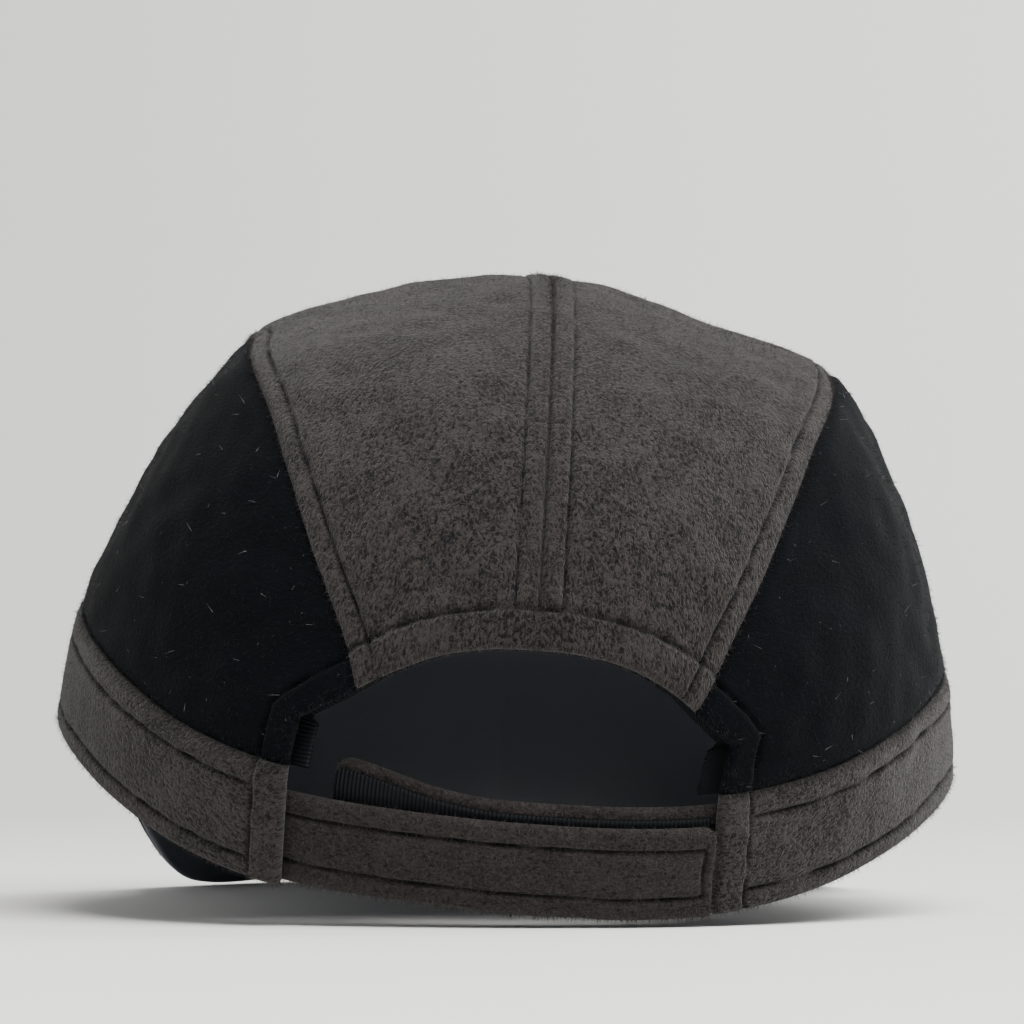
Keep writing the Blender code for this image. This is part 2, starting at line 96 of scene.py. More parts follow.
# By the turn in degrees from the middle of the back, how far the rim rises above its plane, as a share of
# the ear lift.
RIM_LIFTS = [
    (0.0, 0.08), (25.0, 0.14), (37.0, 0.36), (50.0, 0.72),
    (65.0, 1.00), (90.0, 0.98), (130.0, 0.50), (180.0, 0.90),
]
LIFT_FADES_FROM = 0.35
LIFT_FULL_AT = 0.86

# Soft dents in the crown: where they are on the flat pattern, how far they reach on it each way, and the
# depth in metres.
Dent = namedtuple("Dent", "p q p_reach q_reach depth")
DENTS = [
    Dent(0.20, 0.10, 0.13, 0.45, 0.0024),
    Dent(-0.30, 0.10, 0.12, 0.45, 0.0012),
    Dent(-0.10, 0.62, 0.20, 0.20, 0.0012),
]

# The seam between the grey top and the black side, from the back to the front: q and p on the pattern.
SIDE_SEAM = [
    (-0.780, 0.238), (-0.692, 0.266), (-0.568, 0.297), (-0.442, 0.316), (-0.303, 0.334),
    (-0.100, 0.372), (0.067, 0.384), (0.250, 0.400), (0.510, 0.455), (0.720, 0.545),
]
SEAM_TURNS_DOWN_AT = 0.250

# The opening's arch, from its middle to its corner: out and up, as shares of half the opening's width and,
# above the corners, of the arch's own rise.
ARCH = [(0.00, 1.00), (0.22, 0.97), (0.45, 0.85), (0.68, 0.58), (0.87, 0.24), (1.00, 0.00)]

# The peak's outer edge, from its right end to the middle of the front: the share of the way along it, and
# how far it is across, forward and down, as shares of half the rim's width, of the reach from the rim's
# middle to the peak's front, and of the peak's drop.
PEAK_EDGE = [
    (0.00, 0.905, 0.310, 0.02), (0.20, 0.935, 0.415, 0.27), (0.40, 0.910, 0.550, 0.62),
    (0.55, 0.820, 0.685, 0.90), (0.75, 0.560, 0.865, 1.00), (0.90, 0.240, 0.972, 0.92),
    (1.00, 0.000, 1.000, 0.88),
]

# Soft lamps: where each one hangs, what it points at, its width in metres, its power in watts and its tint.
Lamp = namedtuple("Lamp", "name place aim size power tint")
LAMPS = [
    Lamp("Top light", (0.40, -0.72, 1.25), (0.0, 0.0, 0.05), 1.2, 50.0, (1.0, 0.99, 0.98)),
    Lamp("Right light", (1.7, -0.7, 1.0), (0.0, 0.0, 0.06), 1.0, 6.0, (1.0, 0.99, 0.97)),
    Lamp("Left light", (-0.9, -1.2, 0.55), (-0.05, 0.0, 0.02), 0.8, 5.0, (1.0, 0.99, 0.97)),
    Lamp("Wall light", (1.4, 0.5, 1.5), (0.7, 1.8, 0.6), 1.0, 42.0, (0.98, 0.99, 1.0)),
]

# Loose fibres: how far they stand up and hang down against their random spray, their lengths and width in
# metres, and how many more of them there are along a sheet's edges than in its middle, and how far in.
Fibres = namedtuple("Fibres", "name stand hang shortest longest width edge_share edge_reach")
NAP = Fibres("nap", 0.75, 0.50, 0.0007, 0.0016, 0.00010, 9.0, 0.0014)
LINT = Fibres("lint", 0.25, 0.0, 0.0007, 0.0028, 0.00007, 4.0, 0.0200)
FIBRE_SPRAY = 0.55
FIBRE_ROOT = 0.0002

# Edges and steps in the cloth, in metres.
OUTER_ROLL = 0.0014
INNER_ROLL = 0.0010
HEM_STEP = 0.0012

SIDES = (("left", -1), ("right", 1))

# A sheet's outer face at each corner of its grid, the way that it faces, and each corner's distance from the
# sheet's four edges.
Cut = namedtuple("Cut", "base facing left right near far")


def length(name, description, default):
    return FloatProperty(name=name, description=description, default=default, unit="LENGTH", precision=5)


def angle(name, description, degrees):
    return FloatProperty(name=name, description=description, default=math.radians(degrees), subtype="ANGLE")


def colour(name, description, default):
    return FloatVectorProperty(
        name=name, description=description, default=default, size=3, subtype="COLOR", min=0.0, max=1.0
    )


class CapSizes(bpy.types.PropertyGroup):
    rim_width: length("Rim width", "The cap's width at the rim", 0.182)
    back_length: length("Back length", "From the rim's middle to the back", 0.098)
    front_length: length("Front length", "From the rim's middle to the front", 0.100)
    crown_height: length("Crown height", "The crown's height over the rim", 0.105)
    ear_lift: length("Ear lift", "How far the rim rises over the ears", 0.011)
    side_roll: angle("Side roll", "How far the crown leans", 4.0)
    hem_shift: length("Hem shift", "How far the back's hem is pushed to the wearer's right", -0.0015)
    crown_shift: length("Crown shift", "How far the crown's back is pushed to the wearer's right", 0.0030)
    shift_from: length("Shift from", "The height at which the push starts to turn", 0.020)
    shift_full_at: length("Shift full at", "The height from which the whole crown is pushed", 0.048)
    panel_cloth: length("Panel cloth", "Thickness of the fleece panels", 0.0024)
    band_cloth: length("Band cloth", "Thickness of the folded band", 0.0030)
    band_stand: length("Band stand", "How far the band stands out of the panels", 0.0006)
    band_height: length("Band height", "Height of the band", 0.023)
    lining_cloth: length("Lining cloth", "Thickness of the lining", 0.0010)
    layer_gap: length("Layer gap", "Space between two layers", 0.0004)
    opening_width: length("Opening width", "Width of the back opening", 0.080)
    opening_height: length("Opening height", "Height of the arch over the rim", 0.0495)
    corner_height: length("Corner height", "Height of the opening's corners over the rim", 0.0325)
    tape_cloth: length("Tape cloth", "Thickness of the opening's tape", 0.0008)
    tape_width: length("Tape width", "Width of the opening's tape", 0.010)
    tape_shows: length("Tape shows", "How far the tape shows past the opening's sides", 0.0025)
    tape_foot: length("Tape foot", "Height of the tape's ends over the rim", 0.0225)
    strap_width: length("Strap width", "Width of both straps", 0.0185)
    strap_cloth: length("Strap cloth", "Thickness of both straps", 0.0030)
    strap_tuck: length("Strap tuck", "How far a strap runs in behind the band", 0.012)
    strap_below_rim: length("Strap below rim", "How far the outer strap hangs below the rim", 0.0012)
    strap_corner: length("Strap corner", "Radius of the straps' corners", 0.0025)
    strap_end_gap: length("Strap end gap", "From the outer strap's end to the opening's side", 0.0008)
    inner_raise: length("Inner strap raise", "How far the inner strap stands above the outer one", 0.0030)
    tip_raise: length("Tip raise", "How far the inner strap's free end stands up", 0.0050)
    inner_short: length("Inner strap short", "From the inner strap's end to the opening's side", 0.006)
    loop_tape_cloth: length("Loop tape cloth", "Thickness of the loop tape", 0.0008)
    loop_tape_margin: length("Loop tape margin", "From the loop tape to the strap's edge", 0.0020)
    peak_cloth: length("Peak cloth", "Thickness of each of the peak's layers", 0.0017)
    peak_length: length("Peak length", "How far the peak reaches in front of the rim", 0.058)
    peak_drop: length("Peak drop", "How far the peak's edge drops below the rim", 0.056)
    peak_tuck: length("Peak tuck", "How far the peak's seam is tucked up under the band", 0.0012)
    peak_bulge: length("Peak bulge", "How far the peak arches between rim and edge", 0.004)
    peak_start: angle("Peak start", "Where the peak starts, turned from the back", 122.0)


class CapStitching(bpy.types.PropertyGroup):
    seam_sink: length("Seam sink", "Depth of the valley along a seam", 0.0011)
    seam_reach: length("Seam reach", "Half width of the valley along a seam", 0.0012)
    stitch_depth: length("Stitch depth", "How far a stitch line is sunk", 0.0008)
    stitch_half: length("Stitch half width", "Half width of a stitch line's groove", 0.00045)
    side_stitch: length("Side stitch", "From the side seam to its stitch line", 0.0040)
    centre_stitch: length("Centre stitch", "From the centre seam to the stitch lines beside it", 0.0043)
    arch_hem: length("Arch hem", "Width of the hem over the opening", 0.0073)
    side_hem: length("Side hem", "Width of the hem down the opening's sides", 0.0062)
    hem_stand: length("Hem stand", "How far a hem stands out", 0.0005)
    band_top_stitch: length("Band top stitch", "From the band's top to its stitch line", 0.0048)
    band_low_stitch: length("Band low stitch", "From the band's lower edge to its stitch line", 0.0040)
    strap_stitch: length("Strap stitch", "From the strap's long edges to its stitch line", 0.0041)
    strap_end_stitch: length("Strap end stitch", "From the strap's end to its stitch line", 0.0024)
    peak_stitch: length("Peak stitch", "From the peak's edge to its stitch line", 0.0060)


class CapColours(bpy.types.PropertyGroup):
    grey: colour("Grey fleece", "The grey fleece between its clumps and tips", (0.0034, 0.0032, 0.0032))
    grey_tips: colour("Grey fleece tips", "The light tips of the grey nap", (0.0300, 0.0260, 0.0246))
    black: colour("Black fleece", "The black fleece", (0.0004, 0.0007, 0.0010))
    black_tips: colour("Black fleece tips", "The light tips of the black nap", (0.0012, 0.0022, 0.0033))
    # The lining's colour is partly its own black and partly painted light: it is made lighter to stand in for
    # the light that reaches inside the crown and under the peak.
    lining: colour("Lining", "The smooth black lining", (0.074, 0.081, 0.098))
    tape: colour("Tape", "The ribbed black tapes", (0.0030, 0.0040, 0.0052))
    lint: colour("Lint", "The pale lint on the black cloth", (0.16, 0.16, 0.165))
    floor: colour("Floor", "The pale floor and wall", (0.83, 0.822, 0.805))


class StageSettings(bpy.types.PropertyGroup):
    camera_back: length("Camera distance", "From the camera to the strap", 0.700)
    camera_right: length("Camera right", "How far the camera is right of the middle", 0.0013)
    camera_height: length("Camera height", "The camera's height over the floor", 0.0336)
    camera_tilt: angle("Camera tilt", "How far the camera looks up", 3.42)
    camera_lens: FloatProperty(name="Lens", description="Focal length", default=136.3, unit="CAMERA")


def smooth_curve(rows, at, column=1):
    """The values at the given keys on a smooth curve through a column of a table against its first."""
    keys, values = np.array(rows)[:, 0], np.array(rows)[:, column]
    slopes = np.empty_like(values)
    slopes[1:-1] = (values[2:] - values[:-2]) / (keys[2:] - keys[:-2])
    slopes[[0, -1]] = (np.diff(values) / np.diff(keys))[[0, -1]]
    here = np.clip(np.searchsorted(keys, at, side="right") - 1, 0, len(keys) - 2)
    step = keys[here + 1] - keys[here]
    share = (at - keys[here]) / step
    start, end = slopes[here] * step, slopes[here + 1] * step
    rise = values[here + 1] - values[here]
    curved = start + share * (3 * rise - 2 * start - end + share * (start + end - 2 * rise))
    return values[here] + share * curved


def smooth_step(share):
    share = np.clip(share, 0.0, 1.0)
    return share * share * (3 - 2 * share)


def between(low, high, share):
    return low + (high - low) * share


def unit(vectors):
    return vectors / np.maximum(np.linalg.norm(vectors, axis=-1, keepdims=True), 1e-12)


def soft_noise(points, size, seed, waves=16):
    """Smooth noise of about the given size in metres, with a spread of about 1."""
    rng = np.random.default_rng(seed)
    ways = unit(rng.normal(size=(waves, 3))) * rng.uniform(0.55, 1.5, size=(waves, 1)) * 2 * math.pi / size
    phases = rng.uniform(0, 2 * math.pi, size=waves)
    return np.sin(points @ ways.T + phases).sum(axis=-1) / math.sqrt(waves / 2)


def bisect(low, high, is_low, tries=40):
    """The number between low and high up to which is_low holds."""
    for _ in range(tries):
        middle = (low + high) / 2
        if is_low(middle):
            low = middle
        else:
            high = middle
    return (low + high) / 2


def ring_spot(along, turn):
    return along * np.sin(turn), -along * np.cos(turn)


def ring_edge(along, start, end):
    """An edge on the pattern that keeps its distance from the middle."""
    return lambda share: ring_spot(along, between(start, end, share))


def patch(back, front, inner, outer):
    """Fills the pattern between four edges: back and front run outwards, inner and outer run forwards."""

    def spot(across, ahead):
        corners = [edge(np.full(1, end)) for edge in (back, front) for end in (0.0, 1.0)]
        back_edge, front_edge = back(across), front(across)
        inner_edge, outer_edge = inner(ahead), outer(ahead)
        blended = []
        for axis in (0, 1):
            ruled = between(back_edge[axis], front_edge[axis], ahead)
            ruled = ruled + between(inner_edge[axis], outer_edge[axis], across)
            near = between(corners[0][axis], corners[1][axis], across)
            far = between(corners[2][axis], corners[3][axis], across)
            blended.append(ruled - between(near, far, ahead))
        return blended

    return spot


class Crown:
    """The cap's shape, worked out from its sizes. Pattern points are arrays of p and of q."""

    def __init__(self, sizes):
        self.sizes = sizes
        self.half_width = sizes.rim_width / 2
        self.half_opening = sizes.opening_width / 2
        self.tip = math.asin(HEAD_OPENING["axis"][1])
        self.origin = np.array(HEAD_OPENING["pos_m"])
        count = 240  # steps from the top down the back's middle line to the rim
        ups = self.point(np.zeros(count + 1), np.arange(count + 1) / count - 1)
        rises = np.linalg.norm(np.diff(ups, axis=0), axis=1)
        self.up_lengths = np.concatenate([[0.0], np.cumsum(rises)])
        self.along_steps = 1 - np.arange(count + 1) / count
        self.band_top = float(self.along_at(sizes.band_height))
        under_band = sizes.band_cloth - sizes.band_stand
        self.lining_inset = max(sizes.panel_cloth, under_band) + sizes.layer_gap
        self.seam_back_out = bisect(0, 1, self.arch_is_inside)
        self.seam_back_q = self.arch_spot(self.seam_back_out)[1]
        self.seam_front_q = bisect(0, 1, lambda q: math.hypot(self.seam_p(q), q) < self.band_top)
        self.seam_front_turn = math.atan2(self.seam_p(self.seam_front_q), -self.seam_front_q)

    def arch_is_inside(self, out):
        p, q = self.arch_spot(out)
        return p < self.seam_p(q)

    def sections(self, along):
        columns = range(1, len(Section._fields))
        return Section(along, *(smooth_curve(CROWN_SECTIONS, along, column) for column in columns))

    def reach(self, section, turn):
        """How far from its middle the crown's ring is."""
        back_out = self.sizes.back_length * section.back_out
        front_out = self.sizes.front_length * section.front_out
        length_out = np.where(np.cos(turn) > 0, back_out, front_out)
        across = np.abs(np.sin(turn)) / np.maximum(self.half_width * section.side_out, 1e-9)
        ahead = np.abs(np.cos(turn)) / np.maximum(length_out, 1e-9)
        return (across**section.square + ahead**section.square) ** (-1 / section.square)

    def point(self, p, q):
        """The crown's outer surface over the pattern's points."""
        along, turn = np.hypot(p, q), np.arctan2(p, -q)
        section = self.sections(along)
        side = np.sin(turn) ** 2
        end_up = np.where(np.cos(turn) > 0, section.back_up, section.front_up)
        reach = np.where(along < 1e-6, 0.0, self.reach(section, turn))
        fade = smooth_step((along - LIFT_FADES_FROM) / (LIFT_FULL_AT - LIFT_FADES_FROM))
        lift = self.sizes.ear_lift * smooth_curve(RIM_LIFTS, np.abs(np.degrees(turn)))
        up = side * section.side_up + (1 - side) * end_up
        height = self.sizes.crown_height * up + lift * fade
        for dent in DENTS:
            away = ((p - dent.p) / dent.p_reach) ** 2 + ((q - dent.q) / dent.q_reach) ** 2
            height = height - dent.depth * np.exp(-away)
        return np.stack([*ring_spot(reach, turn), height], axis=-1)

    def facing(self, p, q, step=1e-3):
        across = self.point(p + step, q) - self.point(p - step, q)
        ahead = self.point(p, q + step) - self.point(p, q - step)
        return unit(np.cross(across, ahead))

    def along_at(self, up):
        return np.interp(up, self.up_lengths, self.along_steps)

    def back_spot(self, x, up):
        """The pattern's points that lie x from the middle of the back and up the cloth from the rim."""
        x, up = np.broadcast_arrays(np.asarray(x, float), np.asarray(up, float))
        along = self.along_at(up)
        section = self.sections(along)
        low, high = np.zeros(x.shape), np.full(x.shape, math.pi / 2)
        for _ in range(40):
            turn = (low + high) / 2
            short = self.reach(section, turn) * np.sin(turn) < np.abs(x)
            low, high = np.where(short, turn, low), np.where(short, high, turn)
        p, q = ring_spot(along, (low + high) / 2)
        return np.copysign(p, x), q

    def arch_up(self, out):
        rise = smooth_curve(ARCH, np.clip(out, 0.0, 1.0))
        return between(self.sizes.corner_height, self.sizes.opening_height, rise)

    def arch_spot(self, out):
        return self.back_spot(out * self.half_opening, self.arch_up(out))

    def seam_p(self, q):
        return smooth_curve(SIDE_SEAM, q)

    def seam_edge(self, start, end):
        """The side seam's edge on the pattern, between two values of q."""

        def edge(share):
            q = between(start, end, share)
            return self.seam_p(q), q

        return edge

    def settle(self, points):
        """Leans the crown's back over, tips the cap onto its strap and peak, and puts it in its place."""
        sizes = self.sizes
        x, y, z = points[..., 0], points[..., 1], points[..., 2]
        back = 1 - smooth_step(y / sizes.front_length)
        lean = sizes.side_roll * back
        pushed = smooth_step((z - sizes.shift_from) / (sizes.shift_full_at - sizes.shift_from))
        push = between(sizes.hem_shift, sizes.crown_shift, pushed) * back
        x = x + push * (1 - (x / self.half_width) ** 2)
        leant_x = x * np.cos(lean) + z * np.sin(lean)
        leant_z = z * np.cos(lean) - x * np.sin(lean)
        tipped_y = y * math.cos(self.tip) - leant_z * math.sin(self.tip)
        tipped_z = y * math.sin(self.tip) + leant_z * math.cos(self.tip)
        return np.stack([leant_x, tipped_y, tipped_z], axis=-1) + self.origin

    def top_panel(self):
        """The pattern of the grey top's right half, from the centre seam out to the side seam."""

        def arch_edge(share):
            return self.arch_spot(self.seam_back_out * share)

        front = ring_edge(self.band_top, math.pi, self.seam_front_turn)
        start_q, end_q = arch_edge(np.zeros(1))[1], front(np.zeros(1))[1]

        def centre_edge(share):
            return np.zeros_like(share), between(start_q, end_q, share)

        return patch(arch_edge, front, centre_edge, self.seam_edge(self.seam_back_q, self.seam_front_q))

    def side_panel(self):
        """The pattern of the right black side, from the band up to the side seam and round to the front."""
        corner_share = 0.30

        def opening_edge(share):
            up = between(self.sizes.band_height, self.sizes.corner_height, share / corner_share)
            up = np.minimum(up, self.sizes.corner_height)
            low = self.back_spot(np.full_like(up, self.half_opening), up)
            past_corner = np.clip((share - corner_share) / (1 - corner_share), 0, 1)
            high = self.arch_spot(between(1, self.seam_back_out, past_corner))
            is_low = share < corner_share
            return np.where(is_low, low[0], high[0]), np.where(is_low, low[1], high[1])

        foot = opening_edge(np.zeros(1))
        foot_turn = math.atan2(foot[0][0], -foot[1][0])
        band_edge = ring_edge(self.band_top, foot_turn, self.seam_front_turn)
        top_edge = self.seam_edge(self.seam_back_q, SEAM_TURNS_DOWN_AT)
        front_edge = self.seam_edge(self.seam_front_q, SEAM_TURNS_DOWN_AT)
        return patch(opening_edge, front_edge, band_edge, top_edge)

    def band(self):
        """The pattern of the band, from the right end of the opening round the front to the left end."""

        def spot(across, ahead):
            up = between(0, self.sizes.band_height, across)
            end_p, end_q = self.back_spot(np.full_like(up, self.half_opening), up)
            turn = np.arctan2(end_p, -end_q)
            return ring_spot(np.hypot(end_p, end_q), between(turn, 2 * math.pi - turn, ahead))

        return spot

    def lining(self):
        """The pattern of the lining: the whole disc, less the opening and the straps' tucked ends."""
        sizes = self.sizes
        margin = 2 * sizes.layer_gap
        open_x = self.half_opening + margin
        tuck_x = open_x + sizes.strap_tuck
        arch_share, strap_share = 9 / 15, 12 / 15
        side_corner = math.radians(118)

        def half_opening(share):
            out = np.clip(share / arch_share, 0, 1)
            down = np.clip((share - arch_share) / (strap_share - arch_share), 0, 1)
            fall = np.clip((share - strap_share) / (1 - strap_share), 0, 1)
            in_arch = share < arch_share
            x = np.where(in_arch, out * open_x, between(open_x, tuck_x, down))
            up = between(sizes.corner_height + margin, sizes.tape_foot, down)
            up = np.where(in_arch, self.arch_up(out) + margin, up)
            up = np.where(share < strap_share, up, between(sizes.tape_foot, 0, fall))
            return self.back_spot(x, up)

        def back(share):
            p, q = half_opening(np.abs(2 * share - 1))
            return np.copysign(p, 2 * share - 1), q

        foot = half_opening(np.ones(1))
        foot_turn = math.atan2(foot[0][0], -foot[1][0])
        front = ring_edge(1, 2 * math.pi - side_corner, side_corner)
        left = ring_edge(1, -foot_turn, -side_corner)
        right = ring_edge(1, foot_turn, side_corner)
        return patch(back, front, left, right)

    def peak_edge(self, across):
        sizes = self.sizes
        reach = (self.half_width, sizes.front_length + sizes.peak_length, -sizes.peak_drop)
        share = 1 - np.abs(across)
        x, y, z = (size * smooth_curve(PEAK_EDGE, share, column) for column, size in enumerate(reach, 1))
        return np.stack([np.copysign(x, across), y, z], axis=-1)

    def peak_surface(self, u, v):
        across = 2 * v - 1
        turn = math.pi - across * (math.pi - self.sizes.peak_start)
        ring = np.stack(ring_spot(1, turn), axis=-1)
        start = self.point(ring[..., 0], ring[..., 1])
        start[..., :2] -= ring * self.sizes.band_cloth / 3
        start[..., 2] += self.sizes.peak_tuck
        surface = between(start, self.peak_edge(across), u[..., None])
        surface[..., 2] += self.sizes.peak_bulge * 4 * u * (1 - u) * (1 - across**4)
        return surface


def on_crown(crown, spot, inset=0.0, mirror=1):
    """Places a sheet on the crown's surface, inset by so much from its outside."""

    def place(u, v):
        p, q = spot(u, v)
        facing = crown.facing(p * mirror, q)
        return crown.point(p * mirror, q) - facing * inset, facing

    return place


def on_peak(crown, inset, step=1e-3):
    """Places a sheet on the peak, inset by so much from its outside."""

    def place(u, v):
        outwards = crown.peak_surface(np.minimum(u + step, 1), v)
        outwards = outwards - crown.peak_surface(np.maximum(u - step, 0), v)
        rightwards = crown.peak_surface(u, np.minimum(v + step, 1))
        rightwards = rightwards - crown.peak_surface(u, np.maximum(v - step, 0))
        facing = unit(np.cross(rightwards, outwards))
        return crown.peak_surface(u, v) - facing * inset, facing

    return place


def cut_sheet(place, columns, rows, crowd_u=0.0, crowd_v=0.0):
    """Cuts a sheet as a grid that is finer towards its edges where it is crowded there."""
    u, v = np.meshgrid(np.linspace(0, 1, columns + 1), np.linspace(0, 1, rows + 1))
    u = u - crowd_u * np.sin(2 * math.pi * u) / (2 * math.pi)
    v = v - crowd_v * np.sin(2 * math.pi * v) / (2 * math.pi)
    base, facing = place(u, v)
    across = np.linalg.norm(np.diff(base, axis=1), axis=-1)
    ahead = np.linalg.norm(np.diff(base, axis=0), axis=-1)
    left = np.concatenate([np.zeros((rows + 1, 1)), np.cumsum(across, axis=1)], axis=1)
    near = np.concatenate([np.zeros((1, columns + 1)), np.cumsum(ahead, axis=0)], axis=0)
    return Cut(base, facing, left, left[:, -1:] - left, near, near[-1:, :] - near)


def line(distance, at, half_width):
    """1 on a stitch line, falling to 0 beside it."""
    return np.exp(-(((distance - at) / half_width) ** 2))


def valley(distance, reach):
    """1 on a seam, falling to 0 beside it."""
    return np.exp(-((distance / reach) ** 1.5))


def past(distance, at, softness):
    """0 before a line on the cloth and 1 past it, with a soft change between."""
    return smooth_step((distance - at) / softness + 0.5)


def away_from(distance, reach):
    """0 at a seam, rising to 1 as far as reach from it."""
    return smooth_step(distance / reach)


def hem(distance, width, stand):
    """A folded hem stands out as far as its stitch line."""
    return stand * (1 - past(distance, width, HEM_STEP))


def rounded(distance, radius):
    """How far an edge falls away where it is rolled to a radius."""
    short = np.clip(radius - distance, 0, radius)
    return np.sqrt(np.maximum(radius**2 - short**2, 0)) - radius


def folds(cut, seed, deep, wide, shallow, narrow):
    """Uneven folds: broad deep ones, with narrow shallow ones over them."""
    return deep * soft_noise(cut.base, wide, seed) + shallow * soft_noise(cut.base, narrow, seed + 1)


def pucker(cut, seed):
    """How much deeper or shallower a stitch line is along its run, as its stitches pull the cloth in."""
    return np.clip(1 + 0.30 * soft_noise(cut.base, 0.006, seed, waves=8), 0.3, 1.6)


def sew(crown, name, cut, thickness, outer_relief, inner_relief, finish, sunk=None):
    """Makes a sheet of cloth: a grid raised to its thickness, with a relief on each face, laid in its place.
    Its last argument, from 0 to 1, is how far painted shade darkens the stitch grooves and seam valleys, and
    is kept with the sheet for its colour."""
    rows, columns = cut.base.shape[0] - 1, cut.base.shape[1] - 1
    outer = crown.settle(cut.base + cut.facing * outer_relief[..., None])
    inner = crown.settle(cut.base + cut.facing * (inner_relief[..., None] - thickness))
    cloth = bmesh.new()
    weave = cloth.loops.layers.uv.new("weave")
    painted_groove_shade = cloth.verts.layers.float.new("sunk")
    bmesh.ops.create_grid(cloth, x_segments=columns, y_segments=rows, size=0.5)
    raised = bmesh.ops.extrude_face_region(cloth, geom=cloth.faces[:])
    is_outer = {item for item in raised["geom"] if isinstance(item, bmesh.types.BMVert)}
    for vertex in cloth.verts:
        column, row = round((vertex.co.x + 0.5) * columns), round((vertex.co.y + 0.5) * rows)
        spread = (cut.left[row, column], cut.near[row, column])
        for loop in vertex.link_loops:
            loop[weave].uv = spread
        # Painted shade for the stitch grooves and seam valleys, kept on the outer face's corners for the
        # colour.
        if sunk is not None and vertex in is_outer:
            vertex[painted_groove_shade] = sunk[row, column]
        vertex.co = (outer if vertex in is_outer else inner)[row, column]
    bmesh.ops.recalc_face_normals(cloth, faces=cloth.faces)
    if cloth.calc_volume(signed=True) < 0:
        bmesh.ops.reverse_faces(cloth, faces=cloth.faces)
    mesh = bpy.data.meshes.new(name)
    cloth.to_mesh(mesh)
    cloth.free()
    mesh.shade_smooth()
    return add_piece(name, mesh, finish)


def add_piece(name, mesh, finish):
    material, slot = find_finish(finish)
    mesh.materials.append(material)
    piece = bpy.data.objects.new(name, mesh)
    bpy.context.scene.collection.objects.link(piece)
    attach(piece, "root")
    return piece


def scatter_fibres(name, roots, ways, lengths, width, finish):
    """Thin three-sided spikes, one from each root."""
    count = len(roots)
    spikes = bmesh.new()
    number = spikes.verts.layers.int.new("fibre")
    bmesh.ops.create_cone(spikes, cap_ends=True, segments=3, radius1=0.5, radius2=0.0, depth=1.0)
    bmesh.ops.remove_doubles(spikes, verts=spikes.verts, dist=1e-4)
    made = 1
    while made < count:
        more = min(made, count - made)
        copied = [vertex for vertex in spikes.verts if vertex[number] < more]
        copied += [edge for edge in spikes.edges if edge.verts[0][number] < more]
        copied += [face for face in spikes.faces if face.verts[0][number] < more]
        for item in bmesh.ops.duplicate(spikes, geom=copied)["geom"]:
            if isinstance(item, bmesh.types.BMVert):
                item[number] += made
        made += more
    mesh = bpy.data.meshes.new(name)
    spikes.to_mesh(mesh)
    spikes.free()
    shape = np.empty((len(mesh.vertices), 3), dtype=np.float32)
    mesh.vertices.foreach_get("co", shape.ravel())
    fibre = np.empty(len(mesh.vertices), dtype=np.int32)
    mesh.attributes["fibre"].data.foreach_get("value", fibre)
    side = unit(np.cross(ways, np.roll(ways, 1, axis=-1)))
    other = np.cross(ways, side)
    along = (shape[:, 2] + 0.5) * lengths[fibre]
    placed = roots[fibre] + ways[fibre] * along[:, None]
    placed = placed + (side[fibre] * shape[:, :1] + other[fibre] * shape[:, 1:2]) * width
    mesh.vertices.foreach_set("co", placed.astype(np.float32).ravel())
    mesh.update()
    return add_piece(name, mesh, finish)


def brush(crown, name, cut, relief, kind, count, finish, seed):
    """Raises loose fibres from a sheet's outer face, most of them along its edges."""
    rng = np.random.default_rng(seed)
    outer = crown.settle(cut.base + cut.facing * relief[..., None])
    across = outer[:-1, 1:] - outer[:-1, :-1]
    ahead = outer[1:, :-1] - outer[:-1, :-1]
    normals = np.cross(across, ahead)
    areas = np.linalg.norm(normals, axis=-1)
    normals = unit(normals * np.sign((normals * cut.facing[:-1, :-1]).sum(axis=-1, keepdims=True)))
    edges = nearest_edge(cut)[:-1, :-1]
    weights = areas * (1 + kind.edge_share * np.exp(-((edges / kind.edge_reach) ** 2)))
    chosen = rng.choice(weights.size, size=count, p=(weights / weights.sum()).ravel())
    row, column = np.unravel_index(chosen, weights.shape)
    spread = rng.uniform(size=(2, count, 1))
    roots = outer[row, column] + across[row, column] * spread[0] + ahead[row, column] * spread[1]
    spray = rng.normal(size=(count, 3)) * FIBRE_SPRAY
    ways = unit(normals[row, column] * kind.stand + spray + np.array([0, 0, -kind.hang]))
    lengths = rng.uniform(kind.shortest, kind.longest, size=count)
    return scatter_fibres(name, roots - ways * FIBRE_ROOT, ways, lengths, kind.width, finish)


def nearest_edge(cut):
    return np.minimum(np.minimum(cut.left, cut.right), np.minimum(cut.near, cut.far))


def add_cloth(crown, node, cut, thickness, reliefs, finish, sunk=None, brushed=()):
    """Sews the sheet that stands for a CAD node and raises its loose fibres. It works out the size that the
    sheet was cut to before it was sewn on, but passes it on to nothing. brushed gives each kind of fibre with
    its count, its finish and its seed."""
    piece = sew(crown, f"{node}_cloth", cut, thickness, *reliefs, finish, sunk)
    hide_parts(node)
    fibres = [brush(crown, f"{node}_{kind.name}", cut, reliefs[0], kind, *facts) for kind, *facts in brushed]
    across = np.diff(cut.base, axis=1)[:-1]
    ahead = np.diff(cut.base, axis=0)[:, :-1]
    area = float(np.linalg.norm(np.cross(across, ahead), axis=-1).sum())
    wide, long = float((cut.left + cut.right).max()), float((cut.near + cut.far).max())
    area = min(area, wide * long)


def add_flat(crown, node, cut, thickness):
    """Sews a plain ribbed tape that stands for a CAD node."""
    flat = np.zeros(cut.left.shape)
    add_cloth(crown, node, cut, thickness, (flat, flat), "Black ribbed tape")


def set_inputs(tree, node, inputs):
    """Gives each of these inputs of a node its value, or links it to another node's output."""
    for name, value in inputs.items():
        if isinstance(value, bpy.types.NodeSocket):
            tree.links.new(value, node.inputs[name])
        else:
            node.inputs[name].default_value = value


